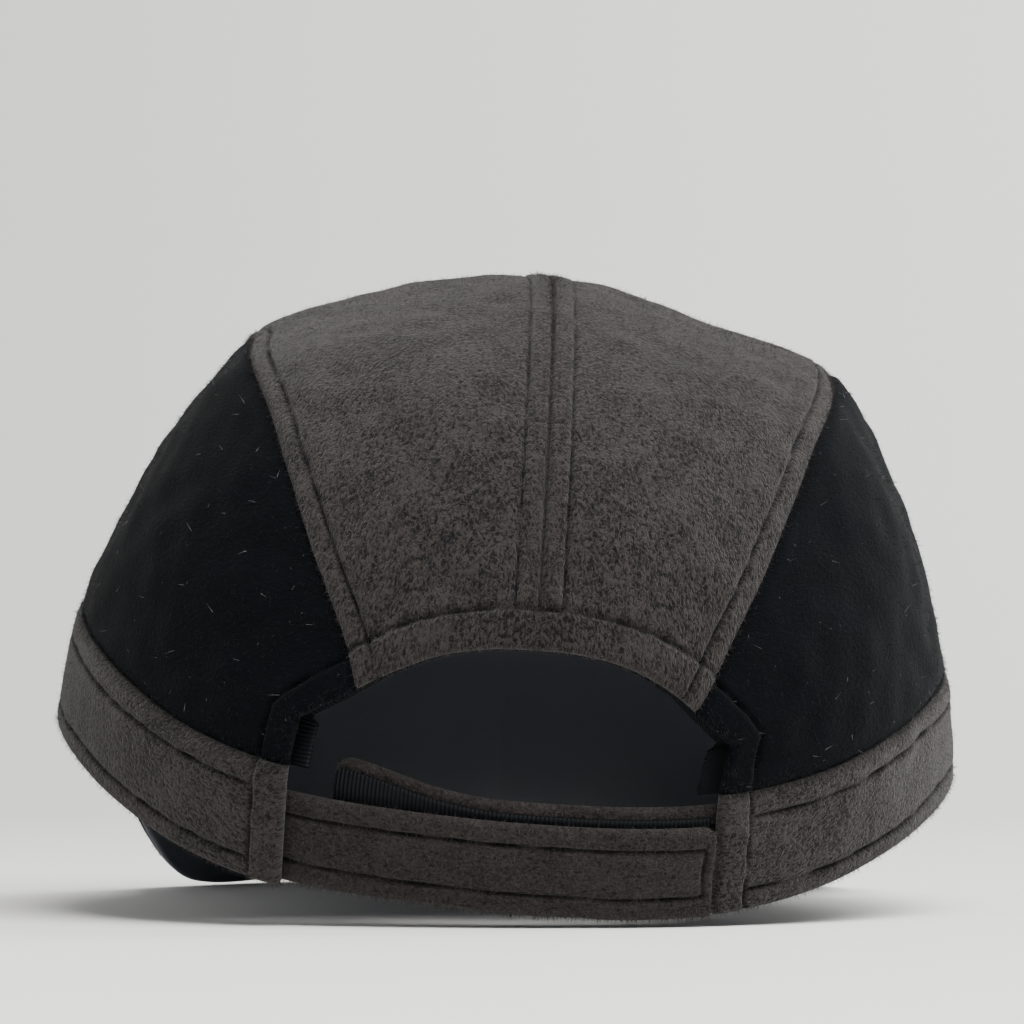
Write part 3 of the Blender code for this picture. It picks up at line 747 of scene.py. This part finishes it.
def add_node(tree, kind, inputs=None, **settings):
    """Adds a node, in a row with those before it, and returns its outputs."""
    node = tree.nodes.new(kind)
    node.location = (200 * len(tree.nodes) - 2000, -300)
    for name, value in settings.items():
        setattr(node, name, value)
    set_inputs(tree, node, inputs or {})
    return node.outputs


def add_math(tree, operation, first, second):
    return add_node(tree, "ShaderNodeMath", {0: first, 1: second}, operation=operation)[0]


def add_shades(tree, share, dark, light):
    inputs = {"Factor": share, "A": (*dark, 1), "B": (*light, 1)}
    return add_node(tree, "ShaderNodeMix", inputs, data_type="RGBA")["Result"]


def add_bump(tree, height, strength, depth):
    inputs = {"Height": height, "Strength": strength, "Distance": depth}
    return add_node(tree, "ShaderNodeBump", inputs)["Normal"]


def nap_group():
    """Short brushed nap: pale tips over darker ground in fine grains, drawn out a little along the cloth,
    and their height. The grains are gathered in clumps, and worn patches lie over them."""
    if "Brushed nap" in bpy.data.node_groups:
        return bpy.data.node_groups["Brushed nap"]
    tree = bpy.data.node_groups.new("Brushed nap", "ShaderNodeTree")
    for name, default in (("Grain", 0.0006), ("Contrast", 0.1), ("Patches", 0.3)):
        socket = tree.interface.new_socket(name, in_out="INPUT", socket_type="NodeSocketFloat")
        socket.default_value = default
    for name in ("Tips", "Height"):
        tree.interface.new_socket(name, in_out="OUTPUT", socket_type="NodeSocketFloat")
    given = add_node(tree, "NodeGroupInput")
    where = add_node(tree, "ShaderNodeUVMap", uv_map="weave")["UV"]
    stretch = {"Vector": where, "Scale": (1.0, 0.62, 1.0)}
    drawn = add_node(tree, "ShaderNodeMapping", stretch)["Vector"]
    per_metre = add_math(tree, "DIVIDE", 1.0, given["Grain"])

    def noise(share, distortion):
        inputs = {"Vector": drawn, "Detail": 2.0, "Roughness": 0.55, "Distortion": distortion}
        inputs["Scale"] = add_math(tree, "MULTIPLY", per_metre, share)
        return add_node(tree, "ShaderNodeTexNoise", inputs)["Fac"]

    def mix(first, second, share):
        return add_node(tree, "ShaderNodeMix", {"Factor": share, "A": first, "B": second})["Result"]

    grains, clumps, patches = noise(1.0, 0.8), noise(0.28, 0.6), noise(0.045, 0.4)
    height = mix(grains, clumps, 0.28)
    worn = mix(height, patches, given["Patches"])
    middle = 0.49
    low = add_math(tree, "SUBTRACT", middle, given["Contrast"])
    high = add_math(tree, "ADD", middle, given["Contrast"])
    tips = add_node(tree, "ShaderNodeMapRange", {"Value": worn, "From Min": low, "From Max": high})
    add_node(tree, "NodeGroupOutput", {"Tips": tips["Result"], "Height": height})
    return tree


def fleece(tree, ground, tips, grain, contrast, patches, sheen, bump_depth):
    """Brushed fleece. Where stitches and seams pull the nap down, painted shade darkens its colour towards the
    dark ground.
    """
    brushed = {"Grain": grain, "Contrast": contrast, "Patches": patches}
    nap = add_node(tree, "ShaderNodeGroup", brushed, node_tree=nap_group())
    # Painted shade: in the stitch grooves and seam valleys the colour is drawn towards the dark ground.
    painted_groove_shade = add_node(tree, "ShaderNodeAttribute", attribute_name="sunk")["Fac"]
    unshaded_share = add_math(tree, "SUBTRACT", 1.0, painted_groove_shade)
    shown = add_math(tree, "MULTIPLY", unshaded_share, nap["Tips"])
    return {
        "Roughness": 0.95,
        "Specular IOR Level": 0.06,
        "Sheen Weight": sheen,
        "Sheen Roughness": 0.5,
        "Base Color": add_shades(tree, shown, ground, tips),
        "Normal": add_bump(tree, nap["Height"], 1.0, bump_depth),
    }


def ribbed(tree, shade, rib, roughness, depth):
    """Woven tape whose ribs run across it, or with a fine rib, smooth lining cloth."""
    where = add_node(tree, "ShaderNodeUVMap", uv_map="weave")["UV"]
    # At a scale of 1, Blender's wave texture has 20 / (2 pi) waves in a metre.
    ribs = {"Vector": where, "Scale": 2 * math.pi / 20 / rib, "Distortion": 0.0}
    waves = add_node(tree, "ShaderNodeTexWave", ribs, wave_type="BANDS", bands_direction="Y")["Fac"]
    dark, light = ([part * share for part in shade] for share in (0.35, 1.35))
    return {
        "Roughness": roughness,
        "Specular IOR Level": 0.12,
        "Base Color": add_shades(tree, waves, dark, light),
        "Normal": add_bump(tree, waves, 0.8, depth),
    }


def loose_fibres(tree, shade):
    """Loose fibres, some lighter than others."""
    where = add_node(tree, "ShaderNodeTexCoord")["Object"]
    spots = {"Vector": where, "Scale": 900.0, "Detail": 0.0}
    share = add_node(tree, "ShaderNodeTexNoise", spots)["Fac"]
    dark, light = ([part * share for part in shade] for share in (0.5, 2.0))
    return {
        "Roughness": 0.75,
        "Specular IOR Level": 0.25,
        "Base Color": add_shades(tree, share, dark, light),
    }


def paper(tree, shade):
    """The floor's plain pale paper."""
    return {"Roughness": 0.85, "Specular IOR Level": 0.2, "Base Color": (*shade, 1)}


# Each finish by its material's name: the record's slot, what makes its nodes, the colours that it takes, and
# its own values, with lengths in metres. Strap fleece is the same grey fleece, flattened by wear.
Finish = namedtuple("Finish", "slot make_nodes colours values")
NEW_NAP = dict(grain=0.00056, contrast=0.08, patches=0.17, sheen=0.12, bump_depth=0.0009)
WORN_NAP = dict(grain=0.00045, contrast=0.15, patches=0.15, sheen=0.08, bump_depth=0.0006)
BLACK_NAP = dict(grain=0.00065, contrast=0.14, patches=0.3, sheen=0.02, bump_depth=0.0004)
LINING_RIBS = dict(rib=0.0005, roughness=0.6, depth=0.00004)
TAPE_RIBS = dict(rib=0.0008, roughness=0.55, depth=0.0003)
FINISHES = {
    "Grey fleece": Finish("grey_fleece", fleece, ("grey", "grey_tips"), NEW_NAP),
    "Grey strap fleece": Finish("grey_fleece", fleece, ("grey", "grey_tips"), WORN_NAP),
    "Grey fibres": Finish("grey_fleece", loose_fibres, ("grey_tips",), {}),
    "Black fleece": Finish("black_fleece", fleece, ("black", "black_tips"), BLACK_NAP),
    "Black fibres": Finish("black_fleece", loose_fibres, ("black_tips",), {}),
    "Pale lint": Finish("black_fleece", loose_fibres, ("lint",), {}),
    "Black lining": Finish("black_lining", ribbed, ("lining",), LINING_RIBS),
    "Black ribbed tape": Finish("black_tape", ribbed, ("tape",), TAPE_RIBS),
    "Pale paper": Finish(None, paper, ("floor",), {}),
}


def find_finish(name):
    """A finish's material, made if it isn't there yet, and its slot."""
    kind = FINISHES[name]
    material = bpy.data.materials.get(name)
    if material is None:
        material = bpy.data.materials.new(name)
        material.use_nodes = True
        tree = material.node_tree
        colours = [getattr(bpy.context.scene.cap_colours, shade) for shade in kind.colours]
        set_inputs(tree, tree.nodes["Principled BSDF"], kind.make_nodes(tree, *colours, **kind.values))
    return material, kind.slot


def start_sewing(context):
    """The cap's shape and its stitching, as the scene's settings now say."""
    return Crown(context.scene.cap_sizes), context.scene.cap_stitching


class AddTopPanels(bpy.types.Operator):
    """Sews the grey top in two halves, with the felled seam between them and the hem over the opening"""

    bl_idname = "cap.add_top_panels"
    bl_label = "Top panels"

    def execute(self, context):
        crown, stitches = start_sewing(context)
        half = stitches.stitch_half
        fullness, seen_through_hem, side_seam_share = 0.0003, 0.35, 0.55
        for side, mirror in SIDES:
            place = on_crown(crown, crown.top_panel(), mirror=mirror)
            cut = cut_sheet(place, columns=110, rows=190, crowd_u=0.62, crowd_v=0.7)
            relief = folds(cut, seed=11, deep=0.00035, wide=0.045, shallow=0.00018, narrow=0.014)
            relief = relief * away_from(cut.left, reach=0.006) * away_from(cut.right, reach=0.004) + fullness
            relief = relief + hem(cut.near, stitches.arch_hem, stitches.hem_stand)
            relief = relief + rounded(cut.near, OUTER_ROLL)
            felled = hem(cut.left, stitches.centre_stitch, stand=0.0004)
            relief = relief + felled * away_from(cut.near - stitches.arch_hem, reach=0.002)
            seen = between(seen_through_hem, 1, past(cut.near, stitches.arch_hem, softness=0.002))
            stitched = line(cut.near, stitches.arch_hem, half) + line(cut.right, stitches.side_stitch, half)
            stitched = stitched + line(cut.left, stitches.centre_stitch, half) * seen
            stitched = stitched * pucker(cut, seed=13)
            seams = line(cut.left, 0.0, half) * seen + valley(cut.far, stitches.seam_reach)
            relief = relief - stitches.stitch_depth * stitched - stitches.seam_sink * seams
            relief = relief - stitches.seam_sink * side_seam_share * valley(cut.right, reach=0.0007)
            add_cloth(
                crown, f"top_panel_{side}", cut, crown.sizes.panel_cloth,
                (relief, -rounded(cut.near, INNER_ROLL)), "Grey fleece",
                # Painted shade in the stitch grooves and seam valleys.
                sunk=np.clip(0.85 * stitched + 0.8 * seams, 0, 1),
                brushed=[(NAP, 15500, "Grey fibres", 14)],
            )
        return {"FINISHED"}


class AddSidePanels(bpy.types.Operator):
    """Sews the black sides, with the hem down the opening's sides and round its corners"""

    bl_idname = "cap.add_side_panels"
    bl_label = "Side panels"

    def execute(self, context):
        crown, stitches = start_sewing(context)
        reach = stitches.seam_reach
        for side, mirror in SIDES:
            place = on_crown(crown, crown.side_panel(), mirror=mirror)
            cut = cut_sheet(place, columns=110, rows=170, crowd_u=0.45, crowd_v=0.7)
            relief = folds(cut, seed=21, deep=0.00045, wide=0.050, shallow=0.00015, narrow=0.012)
            relief = relief * away_from(cut.left, reach=0.006) * away_from(cut.right, reach=0.004)
            relief = relief + hem(cut.near, stitches.side_hem, stitches.hem_stand)
            relief = relief + rounded(cut.near, OUTER_ROLL)
            stitched = line(cut.near, stitches.side_hem, stitches.stitch_half) * pucker(cut, seed=23)
            seams = valley(cut.left, reach) + 0.8 * valley(cut.right, reach) + 0.8 * valley(cut.far, reach)
            relief = relief - stitches.stitch_depth * stitched - stitches.seam_sink * seams
            add_cloth(
                crown, f"side_panel_{side}", cut, crown.sizes.panel_cloth,
                (relief, -rounded(cut.near, INNER_ROLL)), "Black fleece",
                # Painted shade in the stitch grooves and seam valleys.
                sunk=np.clip(0.8 * stitched + 0.7 * seams, 0, 1),
                brushed=[(NAP, 7000, "Black fibres", 24), (LINT, 130, "Pale lint", 25)],
            )
        return {"FINISHED"}


class AddBand(bpy.types.Operator):
    """Sews the grey band round the rim, with two stitch lines and a hem at each end"""

    bl_idname = "cap.add_band"
    bl_label = "Band"

    def execute(self, context):
        crown, stitches = start_sewing(context)
        half = stitches.stitch_half
        deepest_roll, seam_share = 0.0012, 0.9
        place = on_crown(crown, crown.band(), inset=-crown.sizes.band_stand)
        cut = cut_sheet(place, columns=60, rows=390, crowd_u=0.3, crowd_v=0.8)
        ends = np.minimum(cut.near, cut.far)
        relief = folds(cut, seed=31, deep=0.00024, wide=0.040, shallow=0.00010, narrow=0.012)
        relief = relief * away_from(cut.left, reach=0.004)
        relief = relief + hem(ends, stitches.side_hem, stitches.hem_stand) + rounded(ends, OUTER_ROLL)
        rows = line(cut.left, stitches.band_low_stitch, half) + line(cut.right, stitches.band_top_stitch, half)
        past_hem = away_from(ends - stitches.side_hem, reach=0.0015)
        stitched = (rows * past_hem + line(ends, stitches.side_hem, half)) * pucker(cut, seed=33)
        seam = valley(cut.right, stitches.seam_reach)
        relief = relief + rounded(cut.left, OUTER_ROLL) - stitches.stitch_depth * stitched
        relief = relief - stitches.seam_sink * seam_share * seam
        rolled = -rounded(cut.left, deepest_roll) - rounded(ends, deepest_roll)
        add_cloth(
            crown, "band", cut, crown.sizes.band_cloth, (relief, np.minimum(rolled, deepest_roll)),
            "Grey fleece",
            # Painted shade in the stitch grooves and the seam valley.
            sunk=np.clip(0.85 * stitched + 0.7 * seam, 0, 1), brushed=[(NAP, 10000, "Grey fibres", 34)],
        )
        return {"FINISHED"}


class AddLining(bpy.types.Operator):
    """Lays the smooth black lining inside the crown"""

    bl_idname = "cap.add_lining"
    bl_label = "Lining"

    def execute(self, context):
        crown, _stitches = start_sewing(context)
        place = on_crown(crown, crown.lining(), inset=crown.lining_inset)
        cut = cut_sheet(place, columns=110, rows=110)
        slack, depth = 0.0002, 0.00035
        relief = -np.abs(depth * soft_noise(cut.base, size=0.030, seed=41)) - slack
        relief = relief * away_from(nearest_edge(cut), reach=0.010)
        add_cloth(
            crown, "lining", cut, crown.sizes.lining_cloth, (relief, relief), "Black lining",
        )
        return {"FINISHED"}


class AddOpeningTape(bpy.types.Operator):
    """Lays the ribbed tape inside the opening's edge"""

    bl_idname = "cap.add_opening_tape"
    bl_label = "Opening tape"

    def execute(self, context):
        crown, _stitches = start_sewing(context)
        sizes = crown.sizes
        upright = sizes.corner_height - sizes.tape_foot
        arch = sizes.opening_width + 2 * (sizes.opening_height - sizes.corner_height)
        inset = crown.lining_inset + sizes.lining_cloth + sizes.layer_gap
        step = 0.01

        def outline(share):
            distance = share * (2 * upright + arch)
            out = np.clip(between(-1, 1, (distance - upright) / arch), -1, 1)
            up = np.where(distance < upright, sizes.tape_foot + distance, crown.arch_up(np.abs(out)))
            up = np.where(distance > upright + arch, sizes.tape_foot + 2 * upright + arch - distance, up)
            return out * crown.half_opening, up

        def place(u, v):
            share = np.clip(v, step, 1 - step)
            x, up = outline(v)
            after, before = outline(share + step), outline(share - step)
            run_x, run_up = after[0] - before[0], after[1] - before[1]
            size = np.hypot(run_x, run_up)
            away_x, away_up = -run_up / size, run_x / size
            shows = sizes.tape_shows * np.abs(away_x) ** 4
            out = between(-shows, sizes.tape_width - shows, u)
            p, q = crown.back_spot(x + away_x * out, np.maximum(up + away_up * out, 0.0))
            facing = crown.facing(p, q)
            return crown.point(p, q) - facing * inset, facing

        cut = cut_sheet(place, columns=14, rows=260)
        add_flat(crown, "opening_tape", cut, sizes.tape_cloth)
        return {"FINISHED"}


class AddStraps(bpy.types.Operator):
    """Sews the two straps and the loop tape between them"""

    bl_idname = "cap.add_straps"
    bl_label = "Straps"

    def execute(self, context):
        crown, stitches = start_sewing(context)
        sizes = crown.sizes
        edge = crown.half_opening - sizes.strap_end_gap
        over = sizes.strap_cloth + sizes.loop_tape_cloth + 2 * sizes.layer_gap
        start = crown.half_opening + sizes.strap_tuck
        inner_end = -(edge - sizes.inner_short)
        margin = sizes.loop_tape_margin
        tape_end = inner_end + sizes.layer_gap

        def outer_inset(x):
            return crown.lining_inset - over * smooth_step((x + crown.half_opening) / sizes.opening_width)

        def inner_inset(x):
            return outer_inset(x) + over

        def tape_inset(x):
            return inner_inset(x) - sizes.layer_gap - sizes.loop_tape_cloth

        def outer_raise(share):
            return 0.0 * share

        def inner_raise(share):
            return sizes.inner_raise + sizes.tip_raise * smooth_step((share - 0.5) * 2) ** 2

        def tape_raise(share):
            x = between(edge, tape_end, share)
            return margin + inner_raise((x - start) / (inner_end - start))

        def strap(start_x, end_x, inset_at, raise_at, width, corner):
            def place(u, v):
                x = between(start_x, end_x, v)
                left = np.clip(np.abs(end_x - x), 0, corner)
                cut_off = corner - np.sqrt(corner**2 - (corner - left) ** 2)
                up = between(cut_off, width - cut_off, u) - sizes.strap_below_rim + raise_at(v)
                p, q = crown.back_spot(x, up)
                facing = crown.facing(p, q)
                return crown.point(p, q) - facing * inset_at(x)[..., None], facing

            return place

        for node, start_x, end_x, inset_at, raise_at, seed in (
            ("strap_outer", -start, edge, outer_inset, outer_raise, 51),
            ("strap_inner", start, inner_end, inner_inset, inner_raise, 54),
        ):
            place = strap(start_x, end_x, inset_at, raise_at, sizes.strap_width, sizes.strap_corner)
            cut = cut_sheet(place, columns=64, rows=200, crowd_u=0.3, crowd_v=0.3)
            sides = np.minimum(cut.left, cut.right)
            soft = rounded(np.minimum(sides, cut.far), radius=0.0013)
            inside = past(cut.far, stitches.strap_end_stitch, softness=0.001)
            across = past(sides, stitches.strap_stitch, softness=0.001)
            stitched = line(sides, stitches.strap_stitch, stitches.stitch_half) * inside
            stitched = stitched + line(cut.far, stitches.strap_end_stitch, stitches.stitch_half) * across
            stitched = stitched * pucker(cut, seed)
            slack = 0.00018 * soft_noise(cut.base, size=0.016, seed=seed + 1)
            relief = soft + slack - stitches.stitch_depth * stitched
            add_cloth(
                crown, node, cut, sizes.strap_cloth, (relief, -soft), "Grey strap fleece",
                # Painted shade in the stitch grooves.
                sunk=np.clip(0.85 * stitched, 0, 1),
                brushed=[(NAP, 5000, "Grey fibres", seed + 2)],
            )

        width = sizes.strap_width - 2 * margin
        place = strap(edge, tape_end, tape_inset, tape_raise, width, sizes.strap_corner / 2)
        cut = cut_sheet(place, columns=16, rows=240)
        add_flat(crown, "loop_tape", cut, sizes.loop_tape_cloth)
        return {"FINISHED"}


class AddPeak(bpy.types.Operator):
    """Sews the peak's grey top and its smooth black underside"""

    bl_idname = "cap.add_peak"
    bl_label = "Peak"

    def execute(self, context):
        crown, stitches = start_sewing(context)
        sizes = crown.sizes
        for node, inset, cloth in (
            ("peak_top", 0.0, "Grey fleece"),
            ("peak_under", sizes.peak_cloth + sizes.layer_gap, "Black lining"),
        ):
            cut = cut_sheet(on_peak(crown, inset), columns=60, rows=200, crowd_u=0.4)
            edges = np.minimum(np.minimum(cut.near, cut.far), cut.right)
            stitched = line(edges, stitches.peak_stitch, stitches.stitch_half) * pucker(cut, seed=61)
            flat, slack, top_share, under_share = np.zeros(edges.shape), 0.00020, 0.6, 0.3
            if node == "peak_top":
                relief = slack * soft_noise(cut.base, size=0.030, seed=62) + rounded(edges, OUTER_ROLL)
                reliefs = (relief - stitches.stitch_depth * top_share * stitched, flat)
                brushed = [(NAP, 5000, "Grey fibres", 64)]
            else:
                reliefs = (flat, -rounded(edges, INNER_ROLL) + stitches.stitch_depth * under_share * stitched)
                brushed = []
            add_cloth(
                crown, node, cut, sizes.peak_cloth, reliefs, cloth,
                # Painted shade in the stitch grooves of the peak's top.
                sunk=np.clip(0.7 * stitched, 0, 1), brushed=brushed,
            )
        return {"FINISHED"}


class AddStage(bpy.types.Operator):
    """Puts up the pale floor and wall, the soft lights and the camera"""

    bl_idname = "cap.add_stage"
    bl_label = "Stage"

    def execute(self, context):
        scene = context.scene
        stage = scene.cap_stage
        self.add_sweep(scene)
        self.add_lights(scene)
        camera = bpy.data.cameras.new("Camera")
        camera.lens = stage.camera_lens
        camera.sensor_width = 36
        camera.clip_start, camera.clip_end = 0.01, 50
        holder = bpy.data.objects.new("Camera", camera)
        scene.collection.objects.link(holder)
        holder.location = (stage.camera_right, CAD_LOW[1] - stage.camera_back, stage.camera_height)
        holder.rotation_euler = (math.pi / 2 + stage.camera_tilt, 0, 0)
        scene.camera = holder
        return {"FINISHED"}

    def add_sweep(self, scene):
        """A floor that curves up into a wall behind the cap."""
        width, run_length, front, wall_y, radius = 12, 8.0, -3.0, 1.0, 0.8
        flat = wall_y - front
        bend = radius * math.pi / 2
        sweep = bmesh.new()
        bmesh.ops.create_grid(sweep, x_segments=1, y_segments=40, size=0.5)
        for vertex in sweep.verts:
            run = (vertex.co.y + 0.5) * run_length
            x = vertex.co.x * width
            if run <= flat:
                vertex.co = (x, front + run, 0)
            elif run <= flat + bend:
                turn = (run - flat) / radius
                vertex.co = (x, wall_y + radius * math.sin(turn), radius * (1 - math.cos(turn)))
            else:
                vertex.co = (x, wall_y + radius, radius + run - flat - bend)
        bmesh.ops.recalc_face_normals(sweep, faces=sweep.faces)
        if sweep.faces[:][0].normal.z < 0:
            bmesh.ops.reverse_faces(sweep, faces=sweep.faces)
        mesh = bpy.data.meshes.new("floor_and_wall")
        sweep.to_mesh(mesh)
        sweep.free()
        mesh.shade_smooth()
        mesh.materials.append(find_finish("Pale paper")[0])
        floor = bpy.data.objects.new("floor_and_wall", mesh)
        scene.collection.objects.link(floor)

    def add_lights(self, scene):
        world = bpy.data.worlds.new("Soft studio")
        world.use_nodes = True
        background = world.node_tree.nodes["Background"]
        background.inputs["Color"].default_value = (0.93, 0.96, 1.0, 1)
        background.inputs["Strength"].default_value = 0.25
        scene.world = world
        for lamp_kind in LAMPS:
            lamp = bpy.data.lights.new(lamp_kind.name, "AREA")
            lamp.shape = "SQUARE"
            lamp.size = lamp_kind.size
            lamp.energy = lamp_kind.power
            lamp.color = lamp_kind.tint
            holder = bpy.data.objects.new(lamp_kind.name, lamp)
            scene.collection.objects.link(holder)
            holder.location = lamp_kind.place
            away = np.array(lamp_kind.place) - np.array(lamp_kind.aim)
            flat = math.hypot(away[0], away[1])
            holder.rotation_euler = (math.atan2(flat, away[2]), 0, math.atan2(away[0], -away[1]))


class CapPanel(bpy.types.Panel):
    """Lists the cap's pieces, its stage and its settings"""

    bl_idname = "VIEW3D_PT_fleece_cap"
    bl_label = "Fleece cap"
    bl_space_type = "VIEW_3D"
    bl_region_type = "UI"
    bl_category = "Cap"

    def draw(self, context):
        for operator in OPERATORS:
            self.layout.operator(operator.bl_idname)
        for group in SETTINGS:
            settings = getattr(context.scene, group)
            box = self.layout.box()
            for name in settings.__annotations__:
                box.prop(settings, name)


OPERATORS = (AddTopPanels, AddSidePanels, AddBand, AddLining, AddOpeningTape, AddStraps, AddPeak, AddStage)
SETTINGS = {
    "cap_sizes": CapSizes,
    "cap_stitching": CapStitching,
    "cap_colours": CapColours,
    "cap_stage": StageSettings,
}


def register():
    for kind in (*SETTINGS.values(), *OPERATORS, CapPanel):
        bpy.utils.register_class(kind)
    for name, kind in SETTINGS.items():
        setattr(bpy.types.Scene, name, PointerProperty(type=kind))


def unregister():
    for name in SETTINGS:
        delattr(bpy.types.Scene, name)
    for kind in reversed((*SETTINGS.values(), *OPERATORS, CapPanel)):
        bpy.utils.unregister_class(kind)


def main():
    register()
    bpy.ops.cap.add_top_panels()
    bpy.ops.cap.add_side_panels()
    bpy.ops.cap.add_band()
    bpy.ops.cap.add_lining()
    bpy.ops.cap.add_opening_tape()
    bpy.ops.cap.add_straps()
    bpy.ops.cap.add_peak()
    bpy.ops.cap.add_stage()


if __name__ == "__main__":
    main()
